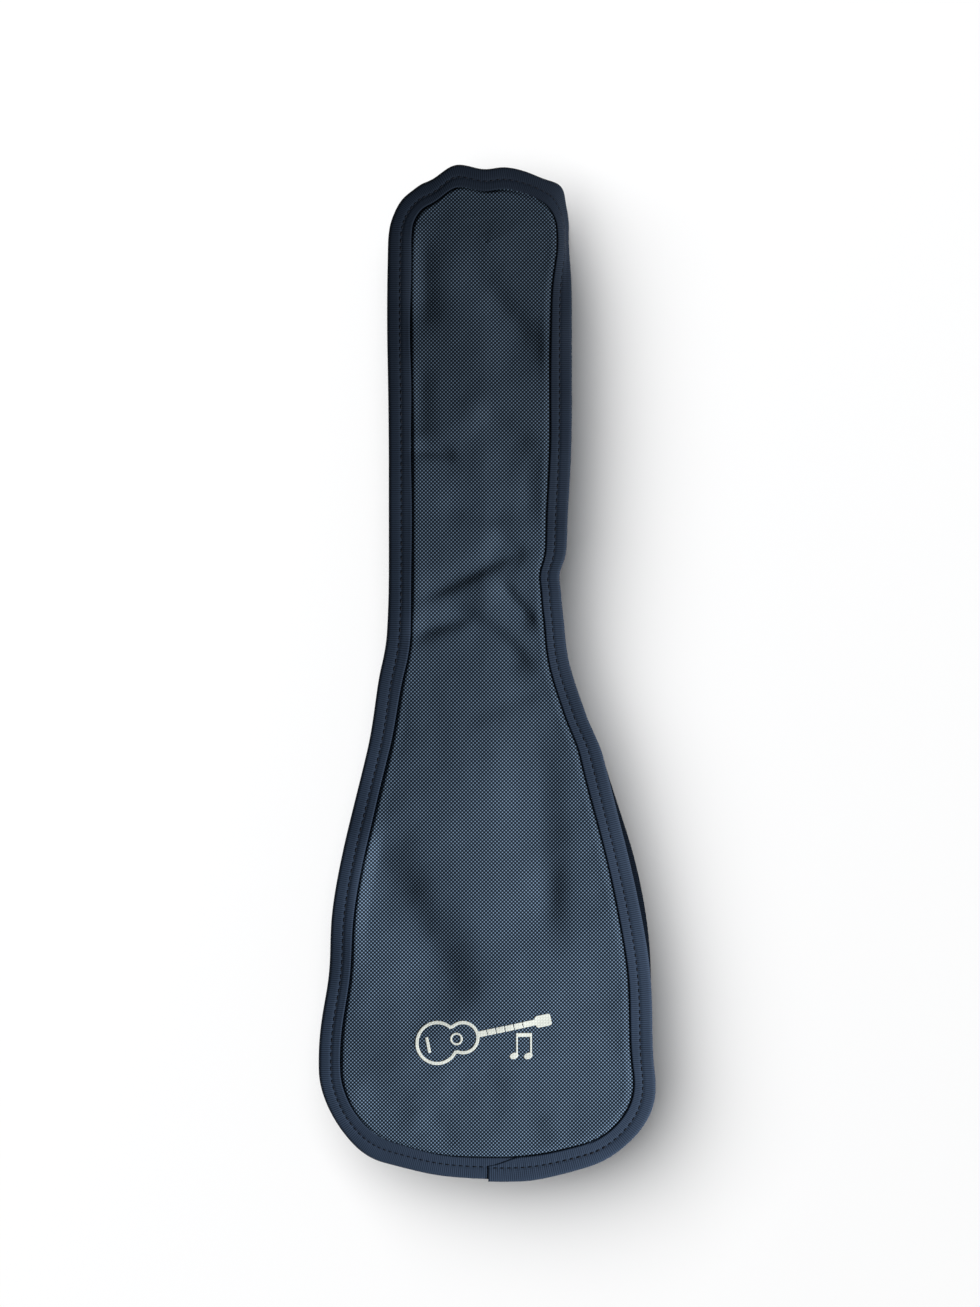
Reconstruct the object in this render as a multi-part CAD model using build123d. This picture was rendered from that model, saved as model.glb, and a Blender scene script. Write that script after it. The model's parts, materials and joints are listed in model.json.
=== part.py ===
from build123d import *
import math
import os

# Soft gig bag for a soprano ukulele, lying on its back.
# +Z points out of the front panel, +Y towards the head end and +X towards the zip side.
# The origin is on the surface that the bag lies on, under the middle of its outline.
# An inset is a distance inwards from the outline; a depth is measured into the bag from a face.

# ---------------------------------------------------------------- driving dimensions, mm
bag_length = 580.0          # head end to tail end, over the binding
body_width = 190.5          # across the lower bout, over the binding
neck_width = 104.0          # across the straight neck, over the binding
bag_height = 52.0           # back face to front face

tail_crown_radius = 170.0   # broad curve across the tail end
tail_corner_radius = 56.0   # corners of the lower bout
flank_radius = 550.0        # slight outward bow beside the lower bout
flank_turn = 14.0           # degrees between the flank and the neck
waist_radius = 80.0         # hollow curve where the flank meets the neck
head_crown_radius = 70.0    # curve across the head end
head_corner_radius = 30.0   # corners of the head end

binding_width = 12.5        # a 25 mm ribbed tape folded in half over the seam
binding_tape = 0.9          # thickness of that tape
panel_fabric = 0.6          # outer cloth of the two panels
gusset_fabric = 0.8         # outer cloth of the side walls, with its backing
foam_thickness = 3.0
lining_thickness = 0.4
seam_clearance = 0.1        # play between layers that are sewn together
panel_gap = 0.1             # between the panel's field and the binding's inner edge
wall_gap = 0.2              # between the side wall and the binding's inner edge
foam_gap = 0.4              # between the foam's edge and the side wall's lining

thread_width = 0.7
thread_depth = 0.4
thread_clearance = 0.05

zip_below_front = 19.0      # middle of the zip, below the front face
zip_tape_width = 14.0       # middle of the zip to the far edge of one tape
zip_tape_thickness = 0.6
zip_window = 7.5            # middle of the zip to the folded edge of the wall cloth
stringer_gap = 1.2          # between the two stringers, where the slider's post runs
coil_width = 2.6
coil_height = 2.2
zip_end_from_head = 33.0    # zip's closed end, from the head end
zip_run_on = 52.0           # closed zip beyond the flap's corner, at both ends
stop_length = 2.4
stop_from_end = 4.0
tab_length = 12.0           # cloth tab over each zip end
tab_thickness = 0.6

fold_gap = 0.3              # between the flap and the rest of the front

slider_length = 14.0
slider_from_zip_end = 14.0  # slider's middle, from the zip's closed end
slider_clearance = 0.4
slider_plate = 1.0
slider_inner_width = 6.0
post_thickness = 0.6
post_length = 3.0
bridge_width = 2.4
bridge_thickness = 1.2
bridge_span = 8.0           # between the insides of the bridge's legs
bridge_clear_height = 2.7

pull_length = 30.0
pull_width = 7.4
pull_thickness = 1.6
pull_slot_width = 4.0
pull_slot_reach = 6.5
pull_bar_radius = 0.8
pull_hole_radius = 1.6
pull_corner_radius = 2.4

strap_width = 25.0          # carry handle webbing
strap_thickness = 1.8
strap_standoff = 9.0        # finger gap between the webbing and the wall
strap_sewn_end = 26.0
strap_ramp = 22.0
strap_grip = 70.0
strap_bend_radius = 12.0
strap_above_waist = 88.0    # handle's middle, from the end of the waist curve

print_thickness = 0.2
print_from_tail = 85.0
print_tilt = 12.0

# ---------------------------------------------------------------- outline geometry
half_body = body_width / 2
half_neck = neck_width / 2
tail_crown_y = tail_crown_radius - bag_length / 2
tail_corner_x = half_body - tail_corner_radius
tail_corner_drop = math.sqrt((tail_crown_radius - tail_corner_radius) ** 2 - tail_corner_x ** 2)
tail_corner_y = tail_crown_y - tail_corner_drop
tail_turn = -math.degrees(math.atan2(tail_corner_drop, tail_corner_x))

flank_cos = math.cos(math.radians(flank_turn))
flank_sin = math.sin(math.radians(flank_turn))
bend_radii = flank_radius + waist_radius
flank_run = (half_body - half_neck - bend_radii * (1 - flank_cos)) / flank_sin
waist_y = tail_corner_y + bend_radii * flank_sin + flank_run * flank_cos

head_crown_y = bag_length / 2 - head_crown_radius
head_corner_x = half_neck - head_corner_radius
head_corner_rise = math.sqrt((head_crown_radius - head_corner_radius) ** 2 - head_corner_x ** 2)
head_corner_y = head_crown_y + head_corner_rise
head_turn = math.degrees(math.atan2(head_corner_rise, head_corner_x))


def outline(inset):
    """Face inside the bag's outline moved inwards; every arc keeps its centre."""
    flank_centre = (half_body - flank_radius, tail_corner_y)
    waist_centre = (half_neck + waist_radius, waist_y)
    flank_arc_radius = flank_radius - inset
    waist_arc_radius = waist_radius + inset
    flank_end = (flank_centre[0] + flank_arc_radius * flank_cos,
                 flank_centre[1] + flank_arc_radius * flank_sin)
    waist_start = (waist_centre[0] - waist_arc_radius * flank_cos,
                   waist_centre[1] - waist_arc_radius * flank_sin)
    neck_x = half_neck - inset
    edges = [
        CenterArc((0, tail_crown_y), tail_crown_radius - inset, -90, tail_turn + 90),
        CenterArc((tail_corner_x, tail_corner_y), tail_corner_radius - inset,
                  tail_turn, -tail_turn),
        CenterArc(flank_centre, flank_arc_radius, 0, flank_turn),
        Line(flank_end, waist_start),
        CenterArc(waist_centre, waist_arc_radius, 180 + flank_turn, -flank_turn),
        Line((neck_x, waist_y), (neck_x, head_corner_y)),
        CenterArc((head_corner_x, head_corner_y), head_corner_radius - inset, 0, head_turn),
        CenterArc((0, head_crown_y), head_crown_radius - inset, head_turn, 90 - head_turn),
    ]
    edges += [mirror(edge, about=Plane.YZ) for edge in edges]
    return make_face(edges)


# ---------------------------------------------------------------- building helpers
def block(x_range, y_range, z_range):
    """Box between pairs of coordinates."""
    sizes = [high - low for low, high in (x_range, y_range, z_range)]
    middle = [(low + high) / 2 for low, high in (x_range, y_range, z_range)]
    return Pos(*middle) * Box(*sizes)


def ring(outer_inset, inner_inset, z_low, z_high):
    """Wall that follows the outline between two insets."""
    face = outline(outer_inset) - outline(inner_inset)
    return Pos(0, 0, z_low) * extrude(face, z_high - z_low, dir=(0, 0, 1))


def plate(inset, z_low, z_high):
    """Flat plate that fills the outline up to an inset."""
    return Pos(0, 0, z_low) * extrude(outline(inset), z_high - z_low, dir=(0, 0, 1))


def depth_range(side, near, far):
    """Heights of a layer between two depths below the front or the back face."""
    if side == "front":
        return bag_height - far, bag_height - near
    return near, far


def pieces(shape):
    """One compound of a shape's separate solids."""
    return Compound(children=list(shape.solids()))


def save(name, shape):
    """Write one node's STEP file."""
    export_step(shape, f"parts/{name}.step")


os.makedirs("parts", exist_ok=True)

# ---------------------------------------------------------------- places of the layers
flange_depth = 2 * binding_tape + panel_fabric + gusset_fabric + seam_clearance
seam_edge = binding_tape + seam_clearance
panel_edge = binding_width + panel_gap
wall_outside = binding_width + wall_gap
wall_inside = wall_outside + gusset_fabric
lining_inside = wall_inside + lining_thickness
foam_edge = lining_inside + foam_gap
panel_depth = panel_fabric + foam_thickness + lining_thickness
gusset_flange_depth = binding_tape + panel_fabric
stitch_inset = binding_width / 2

zip_z = bag_height - zip_below_front
tape_inside = wall_inside + zip_tape_thickness
coil_outside = wall_inside - coil_height
stringer_edge = stringer_gap / 2
coil_far = stringer_edge + coil_width

# ---------------------------------------------------------------- the flap's fold line
wall_x = half_neck - wall_outside
zip_end_y = bag_length / 2 - zip_end_from_head
fold_head = (wall_x, zip_end_y - zip_run_on)
fold_tail = (wall_outside - half_body, tail_corner_y)
fold_frame = Plane(origin=(*fold_tail, 0),
                   x_dir=(fold_head[0] - fold_tail[0], fold_head[1] - fold_tail[1], 0),
                   z_dir=(0, 0, 1))
zip_tail_y = fold_tail[1] + zip_run_on
reach = 2 * bag_length


def fold_zone(low, high):
    """Slab parallel to the fold line; offsets grow from the flap towards the fixed front."""
    return fold_frame * block((-reach, reach), (low, high), (-reach, reach))


def end_zone(near, far):
    """Slabs across the walls at both zip ends; offsets grow past the ends, away from the zip."""
    head_end = block((0, reach), (zip_end_y + near, zip_end_y + far), (-reach, reach))
    tail_end = block((-reach, 0), (zip_tail_y + near, zip_tail_y + far), (-reach, reach))
    return head_end + tail_end


flap_zone = fold_zone(-reach, -fold_gap / 2)
fixed_zone = fold_zone(fold_gap / 2, reach)
zip_zone = end_zone(-reach, 0)

# ---------------------------------------------------------------- panels and binding
def panel_outer(side):
    """Outer cloth of a panel: level with the binding, stepping down into the seam."""
    field = plate(panel_edge, *depth_range(side, 0, panel_fabric))
    step = ring(panel_edge, panel_edge + panel_fabric, *depth_range(side, 0, gusset_flange_depth))
    margin = ring(seam_edge, panel_edge + panel_fabric,
                  *depth_range(side, binding_tape, gusset_flange_depth))
    return field + step + margin


def panel_foam(side):
    """Padding sheet under a panel's outer cloth."""
    return plate(foam_edge, *depth_range(side, panel_fabric, panel_fabric + foam_thickness))


def panel_lining(side):
    """Lining cloth on the padding."""
    return plate(foam_edge, *depth_range(side, panel_fabric + foam_thickness, panel_depth))


def stitch_ring(side, clearance=0.0):
    """Seam thread sunk into the binding, or its groove when it is given a clearance."""
    half = thread_width / 2 + clearance
    return ring(stitch_inset - half, stitch_inset + half,
                *depth_range(side, 0, thread_depth + clearance))


def binding(side):
    """Tape folded over the seam: a U section, open towards the middle of the bag."""
    tape = ring(0, binding_width, *depth_range(side, 0, flange_depth))
    seam = ring(binding_tape, binding_width + panel_gap,
                *depth_range(side, binding_tape, flange_depth - binding_tape))
    return tape - seam - stitch_ring(side, thread_clearance)


for side in ("front", "back"):
    layers = {
        "panel_outer": panel_outer(side),
        "panel_foam": panel_foam(side),
        "panel_lining": panel_lining(side),
        "binding": binding(side),
        "stitching": stitch_ring(side),
    }
    for name, layer in layers.items():
        if side == "back":
            save(f"back_{name}", layer)
        else:
            save(f"front_{name}_fixed", pieces(layer & fixed_zone))
            save(f"front_{name}_flap", pieces(layer & flap_zone))

# ---------------------------------------------------------------- side walls
def gusset_flange(side):
    """Edge of the wall cloth, turned outwards into the seam."""
    return ring(seam_edge, wall_inside,
                *depth_range(side, gusset_flange_depth, gusset_flange_depth + gusset_fabric))


front_turn_z = bag_height - gusset_flange_depth
spine_wall = ring(wall_outside, wall_inside, gusset_flange_depth, front_turn_z)
spine_gusset = spine_wall + gusset_flange("front") + gusset_flange("back")
save("spine_gusset_outer", pieces(spine_gusset - zip_zone))

spine_lining = ring(wall_inside, lining_inside, panel_depth, bag_height - panel_depth)
save("spine_gusset_lining", pieces(spine_lining - zip_zone))

lower_wall = ring(wall_outside, wall_inside, gusset_flange_depth, zip_z - zip_window)
save("lower_gusset_outer", pieces((lower_wall + gusset_flange("back")) & zip_zone))

lower_lining = ring(wall_inside, lining_inside, panel_depth, zip_z - zip_tape_width)
save("lower_gusset_lining", pieces(lower_lining & zip_zone))

upper_wall = ring(wall_outside, wall_inside, zip_z + zip_window, front_turn_z)
upper_gusset = upper_wall + gusset_flange("front")
save("upper_gusset_flap", pieces(upper_gusset & flap_zone))
save("upper_gusset_fixed", pieces(upper_gusset & zip_zone & fixed_zone))

# ---------------------------------------------------------------- zip
stop_start = -stop_from_end - stop_length
coil_zone = end_zone(-reach, stop_start)
stop_zone = end_zone(stop_start, -stop_from_end)
zip_side = block((0, reach), (-reach, reach), (-reach, reach))

tape_up = ring(wall_inside, tape_inside, zip_z + stringer_edge, zip_z + zip_tape_width)
tape_down = ring(wall_inside, tape_inside, zip_z - zip_tape_width, zip_z - stringer_edge)
coil_up = ring(coil_outside, wall_inside, zip_z + stringer_edge, zip_z + coil_far)
coil_down = ring(coil_outside, wall_inside, zip_z - coil_far, zip_z - stringer_edge)

save("zip_tape_flap", pieces(tape_up & flap_zone))
save("zip_tape_fixed", pieces(tape_up & zip_zone & fixed_zone))
save("zip_tape_lower", pieces(tape_down & zip_zone))
save("zip_coil_flap", pieces(coil_up & flap_zone))
save("zip_coil_fixed", pieces(coil_up & coil_zone & fixed_zone))
save("zip_coil_lower", pieces(coil_down & coil_zone))

stops = (coil_up + coil_down) & stop_zone
save("zip_top_stops", pieces(stops & zip_side))
bottom_stop = ring(coil_outside, wall_inside, zip_z - coil_far, zip_z + coil_far) & stop_zone
save("zip_bottom_stop", pieces(bottom_stop - zip_side))

tab_ring = ring(wall_outside - tab_thickness, wall_outside,
                zip_z - zip_tape_width, zip_z + zip_tape_width)
save("zip_end_tabs", pieces(tab_ring & end_zone(0, tab_length)))

# ---------------------------------------------------------------- slider and pull
slider_y = zip_end_y - slider_from_zip_end
slider_span = (slider_y - slider_length / 2, slider_y + slider_length / 2)
tape_face_x = half_neck - wall_inside
coil_top_x = half_neck - coil_outside
inner_plate_x = half_neck - tape_inside - slider_clearance
outer_plate_x = coil_top_x + slider_clearance
cheek_near = coil_far + slider_clearance
cheek_far = cheek_near + slider_plate


def slider():
    """Two plates joined by a post between the stringers, with cheeks and a pull bridge."""
    outer_plate = block((outer_plate_x, outer_plate_x + slider_plate), slider_span,
                        (zip_z - cheek_far, zip_z + cheek_far))
    inner_plate = block((inner_plate_x - slider_plate, inner_plate_x), slider_span,
                        (zip_z - slider_inner_width / 2, zip_z + slider_inner_width / 2))
    post = block((inner_plate_x, outer_plate_x), (slider_span[1] - post_length, slider_span[1]),
                 (zip_z - post_thickness / 2, zip_z + post_thickness / 2))
    body = outer_plate + inner_plate + post
    for low, high in ((cheek_near, cheek_far), (-cheek_far, -cheek_near)):
        body += block((tape_face_x + slider_clearance, outer_plate_x), slider_span,
                      (zip_z + low, zip_z + high))
    bridge_base_x = outer_plate_x + slider_plate
    bridge_reach = bridge_clear_height + bridge_thickness
    bridge_half = bridge_span / 2 + bridge_thickness
    bridge_z = (zip_z - bridge_width / 2, zip_z + bridge_width / 2)
    bridge = block((bridge_base_x, bridge_base_x + bridge_reach),
                   (slider_y - bridge_half, slider_y + bridge_half), bridge_z)
    bridge = fillet(bridge.edges().filter_by(Axis.Z).group_by(Axis.X)[-1], bridge_thickness)
    bridge -= block((bridge_base_x, bridge_base_x + bridge_clear_height),
                    (slider_y - bridge_span / 2, slider_y + bridge_span / 2), bridge_z)
    return body + bridge


def pull(pivot_x):
    """Flat tab with a slot round the bridge; the slot's closed end is the pivot bar."""
    width = (zip_z - pull_width / 2, zip_z + pull_width / 2)
    tab = block((pivot_x - pull_thickness / 2, pivot_x + pull_thickness / 2),
                (slider_y - pull_length, slider_y), width)
    free_corners = tab.edges().filter_by(Axis.X).group_by(Axis.Y)[0]
    tab = fillet(free_corners, pull_corner_radius)
    slot = block((pivot_x - pull_thickness, pivot_x + pull_thickness),
                 (slider_y - pull_slot_reach, slider_y + pull_bar_radius),
                 (zip_z - pull_slot_width / 2, zip_z + pull_slot_width / 2))
    bar = Pos(pivot_x, slider_y, zip_z) * Cylinder(pull_bar_radius, pull_width)
    hole_y = slider_y - pull_length + 2 * pull_corner_radius
    hole = Pos(pivot_x, hole_y, zip_z) * Rot(0, 90, 0) * Cylinder(pull_hole_radius, pull_width)
    return tab - slot - hole + bar


pull_pivot_x = outer_plate_x + slider_plate + bridge_clear_height / 2
save("slider_body", slider())
save("pull_tab", pull(pull_pivot_x))

# ---------------------------------------------------------------- carry handle
def handle():
    """Webbing sewn flat to the spine wall at both ends, standing off it in between."""
    near_x = -wall_x - strap_thickness / 2
    far_x = near_x - strap_standoff
    middle_y = waist_y + strap_above_waist
    half_grip = strap_grip / 2
    half_feet = half_grip + strap_ramp
    half_total = half_feet + strap_sewn_end
    right_half = [(far_x, half_grip), (near_x, half_feet), (near_x, half_total)]
    left_half = [(x, -y) for x, y in reversed(right_half)]
    route = [(x, middle_y + y) for x, y in left_half + right_half]
    path = FilletPolyline(*route, radius=strap_bend_radius)
    webbing = extrude(trace(path, strap_thickness), strap_width, dir=(0, 0, 1))
    return Pos(0, 0, (bag_height - strap_width) / 2) * webbing


save("handle_strap", handle())

# ---------------------------------------------------------------- print on the flap
def ukulele_mark():
    """Generic outline of a small four-string body, neck and head, lying along +X."""
    lower, upper, bout_gap = 12.5, 9.5, 15.0
    neck_half, neck_reach = 1.9, 42.0
    head_half, head_length = 3.4, 9.0
    mark = Pos(-bout_gap, 0) * Circle(lower)
    mark += Circle(upper)
    mark += Pos(-bout_gap / 2, 0) * Rectangle(bout_gap, 2 * upper * 0.86)
    mark += Pos(neck_reach / 2, 0) * Rectangle(neck_reach, 2 * neck_half)
    mark += Pos(neck_reach + head_length / 2, 0) * RectangleRounded(head_length, 2 * head_half, 1.4)
    mark -= Pos(-bout_gap * 0.25, 0) * Circle(3.2)
    mark -= Pos(-bout_gap * 1.35, 0) * Rectangle(1.8, 9.0)
    return Pos(-13, 0) * mark


def note_mark():
    """Generic pair of beamed notes."""
    stem_height, stem_gap = 13.0, 8.0
    mark = Pos(stem_gap / 2, stem_height - 1.1) * Rectangle(stem_gap + 1.0, 2.2)
    for x in (0, stem_gap):
        mark += Pos(x - 1.6, 0) * Rot(0, 0, 20) * Ellipse(2.5, 1.8)
        mark += Pos(x, stem_height / 2) * Rectangle(1.0, stem_height)
    return mark


print_y = print_from_tail - bag_length / 2
printed = Pos(0, print_y) * Rot(0, 0, print_tilt) * ukulele_mark()
printed += Pos(18, print_y - 13) * note_mark()
save("printed_emblem", pieces(Pos(0, 0, bag_height) * extrude(printed, print_thickness,
                                                               dir=(0, 0, 1))))

# ---------------------------------------------------------------- values for the record
slider_travel = slider_span[0] - waist_y
print("fold tail", fold_tail, "fold head", fold_head)
print("slider y", round(slider_y, 2), "travel", round(slider_travel, 2))
print("pull pivot", round(pull_pivot_x, 3), round(slider_y, 3), zip_z)
print("waist y", round(waist_y, 2), "lining inset", lining_inside, "panel depth", panel_depth)
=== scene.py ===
"""Soft gig bag for a soprano ukulele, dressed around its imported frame.

The bag lies on its back. +X is the zip side, +Y the head end and +Z out of the front panel. Shapes
are worked out in millimetres and become metres when a mesh is made. Most pieces are carried along
one outline, where s is the distance along it from the middle of the tail end, anticlockwise, and an
inset is a distance inwards from it.
"""

import json
import logging
import math
from dataclasses import dataclass, field
from enum import Enum
from typing import Callable, Optional

import bmesh
import bpy
import numpy as np
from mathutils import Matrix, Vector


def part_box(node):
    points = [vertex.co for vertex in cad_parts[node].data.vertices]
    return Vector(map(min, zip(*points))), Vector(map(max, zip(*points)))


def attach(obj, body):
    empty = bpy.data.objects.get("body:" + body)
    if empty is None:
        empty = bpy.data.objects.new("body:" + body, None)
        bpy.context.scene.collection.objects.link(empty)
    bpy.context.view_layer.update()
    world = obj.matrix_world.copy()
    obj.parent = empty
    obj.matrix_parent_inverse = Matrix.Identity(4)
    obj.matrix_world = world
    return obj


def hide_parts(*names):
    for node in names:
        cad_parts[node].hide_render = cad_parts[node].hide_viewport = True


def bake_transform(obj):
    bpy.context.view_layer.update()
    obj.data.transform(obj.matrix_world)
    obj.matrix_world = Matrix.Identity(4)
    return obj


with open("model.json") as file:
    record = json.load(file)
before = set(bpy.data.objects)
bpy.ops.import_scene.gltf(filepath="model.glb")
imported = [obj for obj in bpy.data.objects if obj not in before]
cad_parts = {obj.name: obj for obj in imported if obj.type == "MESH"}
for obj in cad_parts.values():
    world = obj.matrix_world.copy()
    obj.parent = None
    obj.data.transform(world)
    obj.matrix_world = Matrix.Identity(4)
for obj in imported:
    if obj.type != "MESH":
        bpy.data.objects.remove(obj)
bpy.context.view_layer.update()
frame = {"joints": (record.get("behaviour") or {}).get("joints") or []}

LOG = logging.getLogger("gig_bag")
MM = 0.001
TURN = 2.0 * math.pi
Array = np.ndarray
Colour = tuple[float, float, float]
Node = bpy.types.Node
Socket = bpy.types.NodeSocket
Piece = bpy.types.Object
WINDOW_SIDE = (0.95, -0.31)     # direction on the floor, from the bag towards the window light


# ---------------------------------------------------------------- curves and waves
def smooth(low: float, high: float, x: Array) -> Array:
    """Smooth step: 0 below low, 1 above high and 3t^2 - 2t^3 in between."""
    t = np.clip((np.asarray(x, float) - low) / (high - low), 0.0, 1.0)
    return t * t * (3.0 - 2.0 * t)


def bell(x: Array, centre: float, width: float) -> Array:
    """Bell curve, exp(-((x - centre) / width)^2)."""
    return np.exp(-(((np.asarray(x, float) - centre) / width) ** 2))


def bells(x: Array, rows: tuple[tuple[float, float, float], ...]) -> Array:
    """Sum of bell curves, each given by its height, centre and width."""
    return sum(height * bell(x, centre, width) for height, centre, width in rows)


def ripples(x: Array, y: Array, seed: int, size: float) -> Array:
    """Irregular smooth field: the sum of sin(k . p + phase) over plane waves in seeded directions.

    Args:
        x: First coordinate, mm.
        y: Second coordinate, mm.
        seed: Seed of the directions, lengths and phases.
        size: Middle wave length, mm.

    Returns:
        Heights, mostly in -1 ... 1.
    """
    count = 14
    draw = np.random.default_rng(seed)
    heading = draw.uniform(0.0, TURN, count)
    phase = draw.uniform(0.0, TURN, count)
    rate = TURN / (size * draw.uniform(0.7, 1.7, count))
    across = np.asarray(x, float)[..., None] * (rate * np.cos(heading))
    along = np.asarray(y, float)[..., None] * (rate * np.sin(heading))
    return np.sin(across + along + phase).sum(-1) / math.sqrt(2.0 * count)


def unit(vectors: Array) -> Array:
    """Vectors at length 1."""
    return vectors / np.maximum(np.linalg.norm(vectors, axis=-1, keepdims=True), 1e-9)


def path_length(points: Array) -> Array:
    """Length along a polyline from its first point to each point."""
    return np.concatenate([[0.0], np.cumsum(np.linalg.norm(np.diff(points, axis=0), axis=1))])


def resample(points: Array, step: float) -> Array:
    """Points about a step apart along a polyline, with both ends kept."""
    points = np.asarray(points, float)
    length = path_length(points)
    places = np.linspace(0.0, length[-1], max(2, int(round(length[-1] / step)) + 1))
    return np.stack([np.interp(places, length, column) for column in points.T], axis=1)


def thicken(path: Array, thickness: float, edge_share: float = 0.55) -> Array:
    """Closed loop round an open path: half the thickness to its left, then back on its right.

    Args:
        path: Array (..., points, 2).
        thickness: Full thickness, mm.
        edge_share: Share of the thickness at both ends, which makes them look rolled.

    Returns:
        Array (..., 2 * points, 2).
    """
    tangent = unit(np.gradient(path, axis=-2))
    normal = np.stack([-tangent[..., 1], tangent[..., 0]], axis=-1)
    share = np.ones(path.shape[-2])
    share[[0, -1]] = edge_share
    side = normal * (share[:, None] * thickness / 2.0)
    return np.concatenate([path + side, (path - side)[..., ::-1, :]], axis=-2)


# ---------------------------------------------------------------- meshes from grids
@dataclass(frozen=True)
class Grid:
    """Quads over rows by columns of points; either way round may close on itself."""

    rows: int
    columns: int
    rows_close: bool = False
    columns_close: bool = False

    def corners(self) -> tuple[Array, Array]:
        """Row and column numbers of each quad's four corners, counted past the seam."""
        row, column = (a.ravel() for a in np.meshgrid(
            np.arange(self.rows - (not self.rows_close)),
            np.arange(self.columns - (not self.columns_close)), indexing="ij"))
        return (np.stack([row, row + 1, row + 1, row], axis=1),
                np.stack([column, column, column + 1, column + 1], axis=1))

    def faces(self) -> Array:
        """Point numbers of each quad."""
        rows, columns = self.corners()
        return (rows % self.rows) * self.columns + columns % self.columns


@dataclass
class Patch:
    """Part of a piece's mesh: points in mm, faces, and UV in metres for the corners of its quads."""

    points: Array
    quads: Array
    caps: list[list[int]] = field(default_factory=list)
    uv: Optional[Array] = None

    @staticmethod
    def from_grid(points: Array, grid: Grid, along: Optional[Array] = None,
                  across: Optional[Array] = None, capped: bool = False) -> "Patch":
        """Patch over a grid of points.

        Args:
            points: Array (rows, columns, 3), mm.
            grid: How the points are joined.
            along: UV along the rows, mm, with one more entry than rows where the rows close.
            across: UV across the columns, mm, likewise.
            capped: Whether the first and last rows are closed with one face each.

        Returns:
            The patch.
        """
        uv = None
        if along is not None:
            rows, columns = grid.corners()
            uv = np.stack([along[rows], across[columns]], axis=-1) * MM
        first = list(range(grid.columns))
        last = [(grid.rows - 1) * grid.columns + i for i in first]
        return Patch(points.reshape(-1, 3), grid.faces(), [first, last[::-1]] if capped else [], uv)

    @staticmethod
    def joined(patches: list["Patch"]) -> "Patch":
        """All patches as one, their points side by side."""
        offsets = np.cumsum([0] + [len(p.points) for p in patches[:-1]])
        caps = [[i + int(o) for i in cap] for p, o in zip(patches, offsets) for cap in p.caps]
        has_uv = all(p.uv is not None for p in patches)
        return Patch(np.concatenate([p.points for p in patches]),
                     np.concatenate([p.quads + o for p, o in zip(patches, offsets)]), caps,
                     np.concatenate([p.uv for p in patches]) if has_uv else None)

    @staticmethod
    def capsules(points: Array, along: Array, radius: float) -> "Patch":
        """Closed stitches, their points (stitches, steps, sides, 3), with UV along and round each."""
        count, steps, sides = points.shape[:3]
        one = Grid(steps, sides, columns_close=True)
        offsets = (np.arange(count) * steps * sides)[:, None, None]
        rows, columns = one.corners()
        uv = np.stack([along[rows], columns * radius], axis=-1) * MM
        return Patch(points.reshape(-1, 3), (one.faces()[None] + offsets).reshape(-1, 4), [],
                     np.tile(uv, (count, 1, 1)))


def make_piece(name: str, patch: Patch, merge: float = 0.0, closed: bool = True) -> Piece:
    """Object with a patch as its mesh, in the scene.

    Args:
        name: Name of the piece.
        patch: Its points, faces and UV.
        merge: Points closer than this, mm, become one.
        closed: Whether the faces are turned outwards as those of closed shells.

    Returns:
        The new object.
    """
    mesh = bpy.data.meshes.new(name)
    mesh.from_pydata((patch.points * MM).tolist(), [], patch.quads.tolist() + patch.caps)
    if patch.uv is not None:
        layer = mesh.uv_layers.new(name="UVMap")
        values = np.zeros((len(mesh.loops), 2), np.float32)
        values[: patch.uv.size // 2] = patch.uv.reshape(-1, 2)
        layer.data.foreach_set("uv", values.ravel())
    if merge or closed:
        shell = bmesh.new()
        shell.from_mesh(mesh)
        if merge:
            bmesh.ops.remove_doubles(shell, verts=shell.verts, dist=merge * MM)
        if closed:
            bmesh.ops.recalc_face_normals(shell, faces=shell.faces)
        shell.to_mesh(mesh)
        shell.free()
    mesh.polygons.foreach_set("use_smooth", [True] * len(mesh.polygons))
    mesh.update()
    return in_scene(name, mesh)


def in_scene(name: str, data: bpy.types.ID) -> Piece:
    """New object with this data, in the scene."""
    piece = bpy.data.objects.new(name, data)
    bpy.context.scene.collection.objects.link(piece)
    return piece


def solidify(piece: Piece, thickness: float, offset: float) -> None:
    """Give an open cloth its thickness, mm, behind its face (-1) or in front of it (1)."""
    modifier = piece.modifiers.new("thickness", "SOLIDIFY")
    modifier.thickness = thickness * MM
    modifier.offset = offset


def signed_power(value: Array, power: float) -> Array:
    """Value raised to a power, its sign kept."""
    return np.sign(value) * np.abs(value) ** power


def rounded_block(centre: tuple[float, float, float], half: tuple[float, float, float],
                  squareness: float) -> Patch:
    """Closed block with rounded edges.

    Each coordinate is a power of the sphere's: x = hx c(u) c(v), y = hy c(u) s(v), z = hz s(u), where
    c and s are the cosine and sine raised to the squareness with their sign kept.

    Args:
        centre: Middle, mm.
        half: Half sizes, mm.
        squareness: Near 0 for sharp edges, 1 for an ellipsoid.

    Returns:
        The patch.
    """
    u = np.linspace(-math.pi / 2, math.pi / 2, 13)[:, None]
    v = np.linspace(0.0, TURN, 33)[None, :-1]
    ring = signed_power(np.where(np.abs(np.cos(u)) < 1e-9, 0.0, np.cos(u)), squareness)
    x = centre[0] + half[0] * ring * signed_power(np.cos(v), squareness)
    y = centre[1] + half[1] * ring * signed_power(np.sin(v), squareness)
    z = centre[2] + half[2] * signed_power(np.sin(u), squareness) * np.ones_like(v)
    return Patch.from_grid(np.stack([x, y, z], axis=-1), Grid(13, 32, columns_close=True))


# ---------------------------------------------------------------- sizes from the frame
def box_mm(node: str) -> tuple[Array, Array]:
    """Lowest and highest corners of a node of the frame, mm."""
    low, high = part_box(node)
    return np.array(low) / MM, np.array(high) / MM


def joint(name: str) -> dict:
    """Joint of the frame with this name."""
    return next(j for j in frame["joints"] if j["name"] == name)


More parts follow.
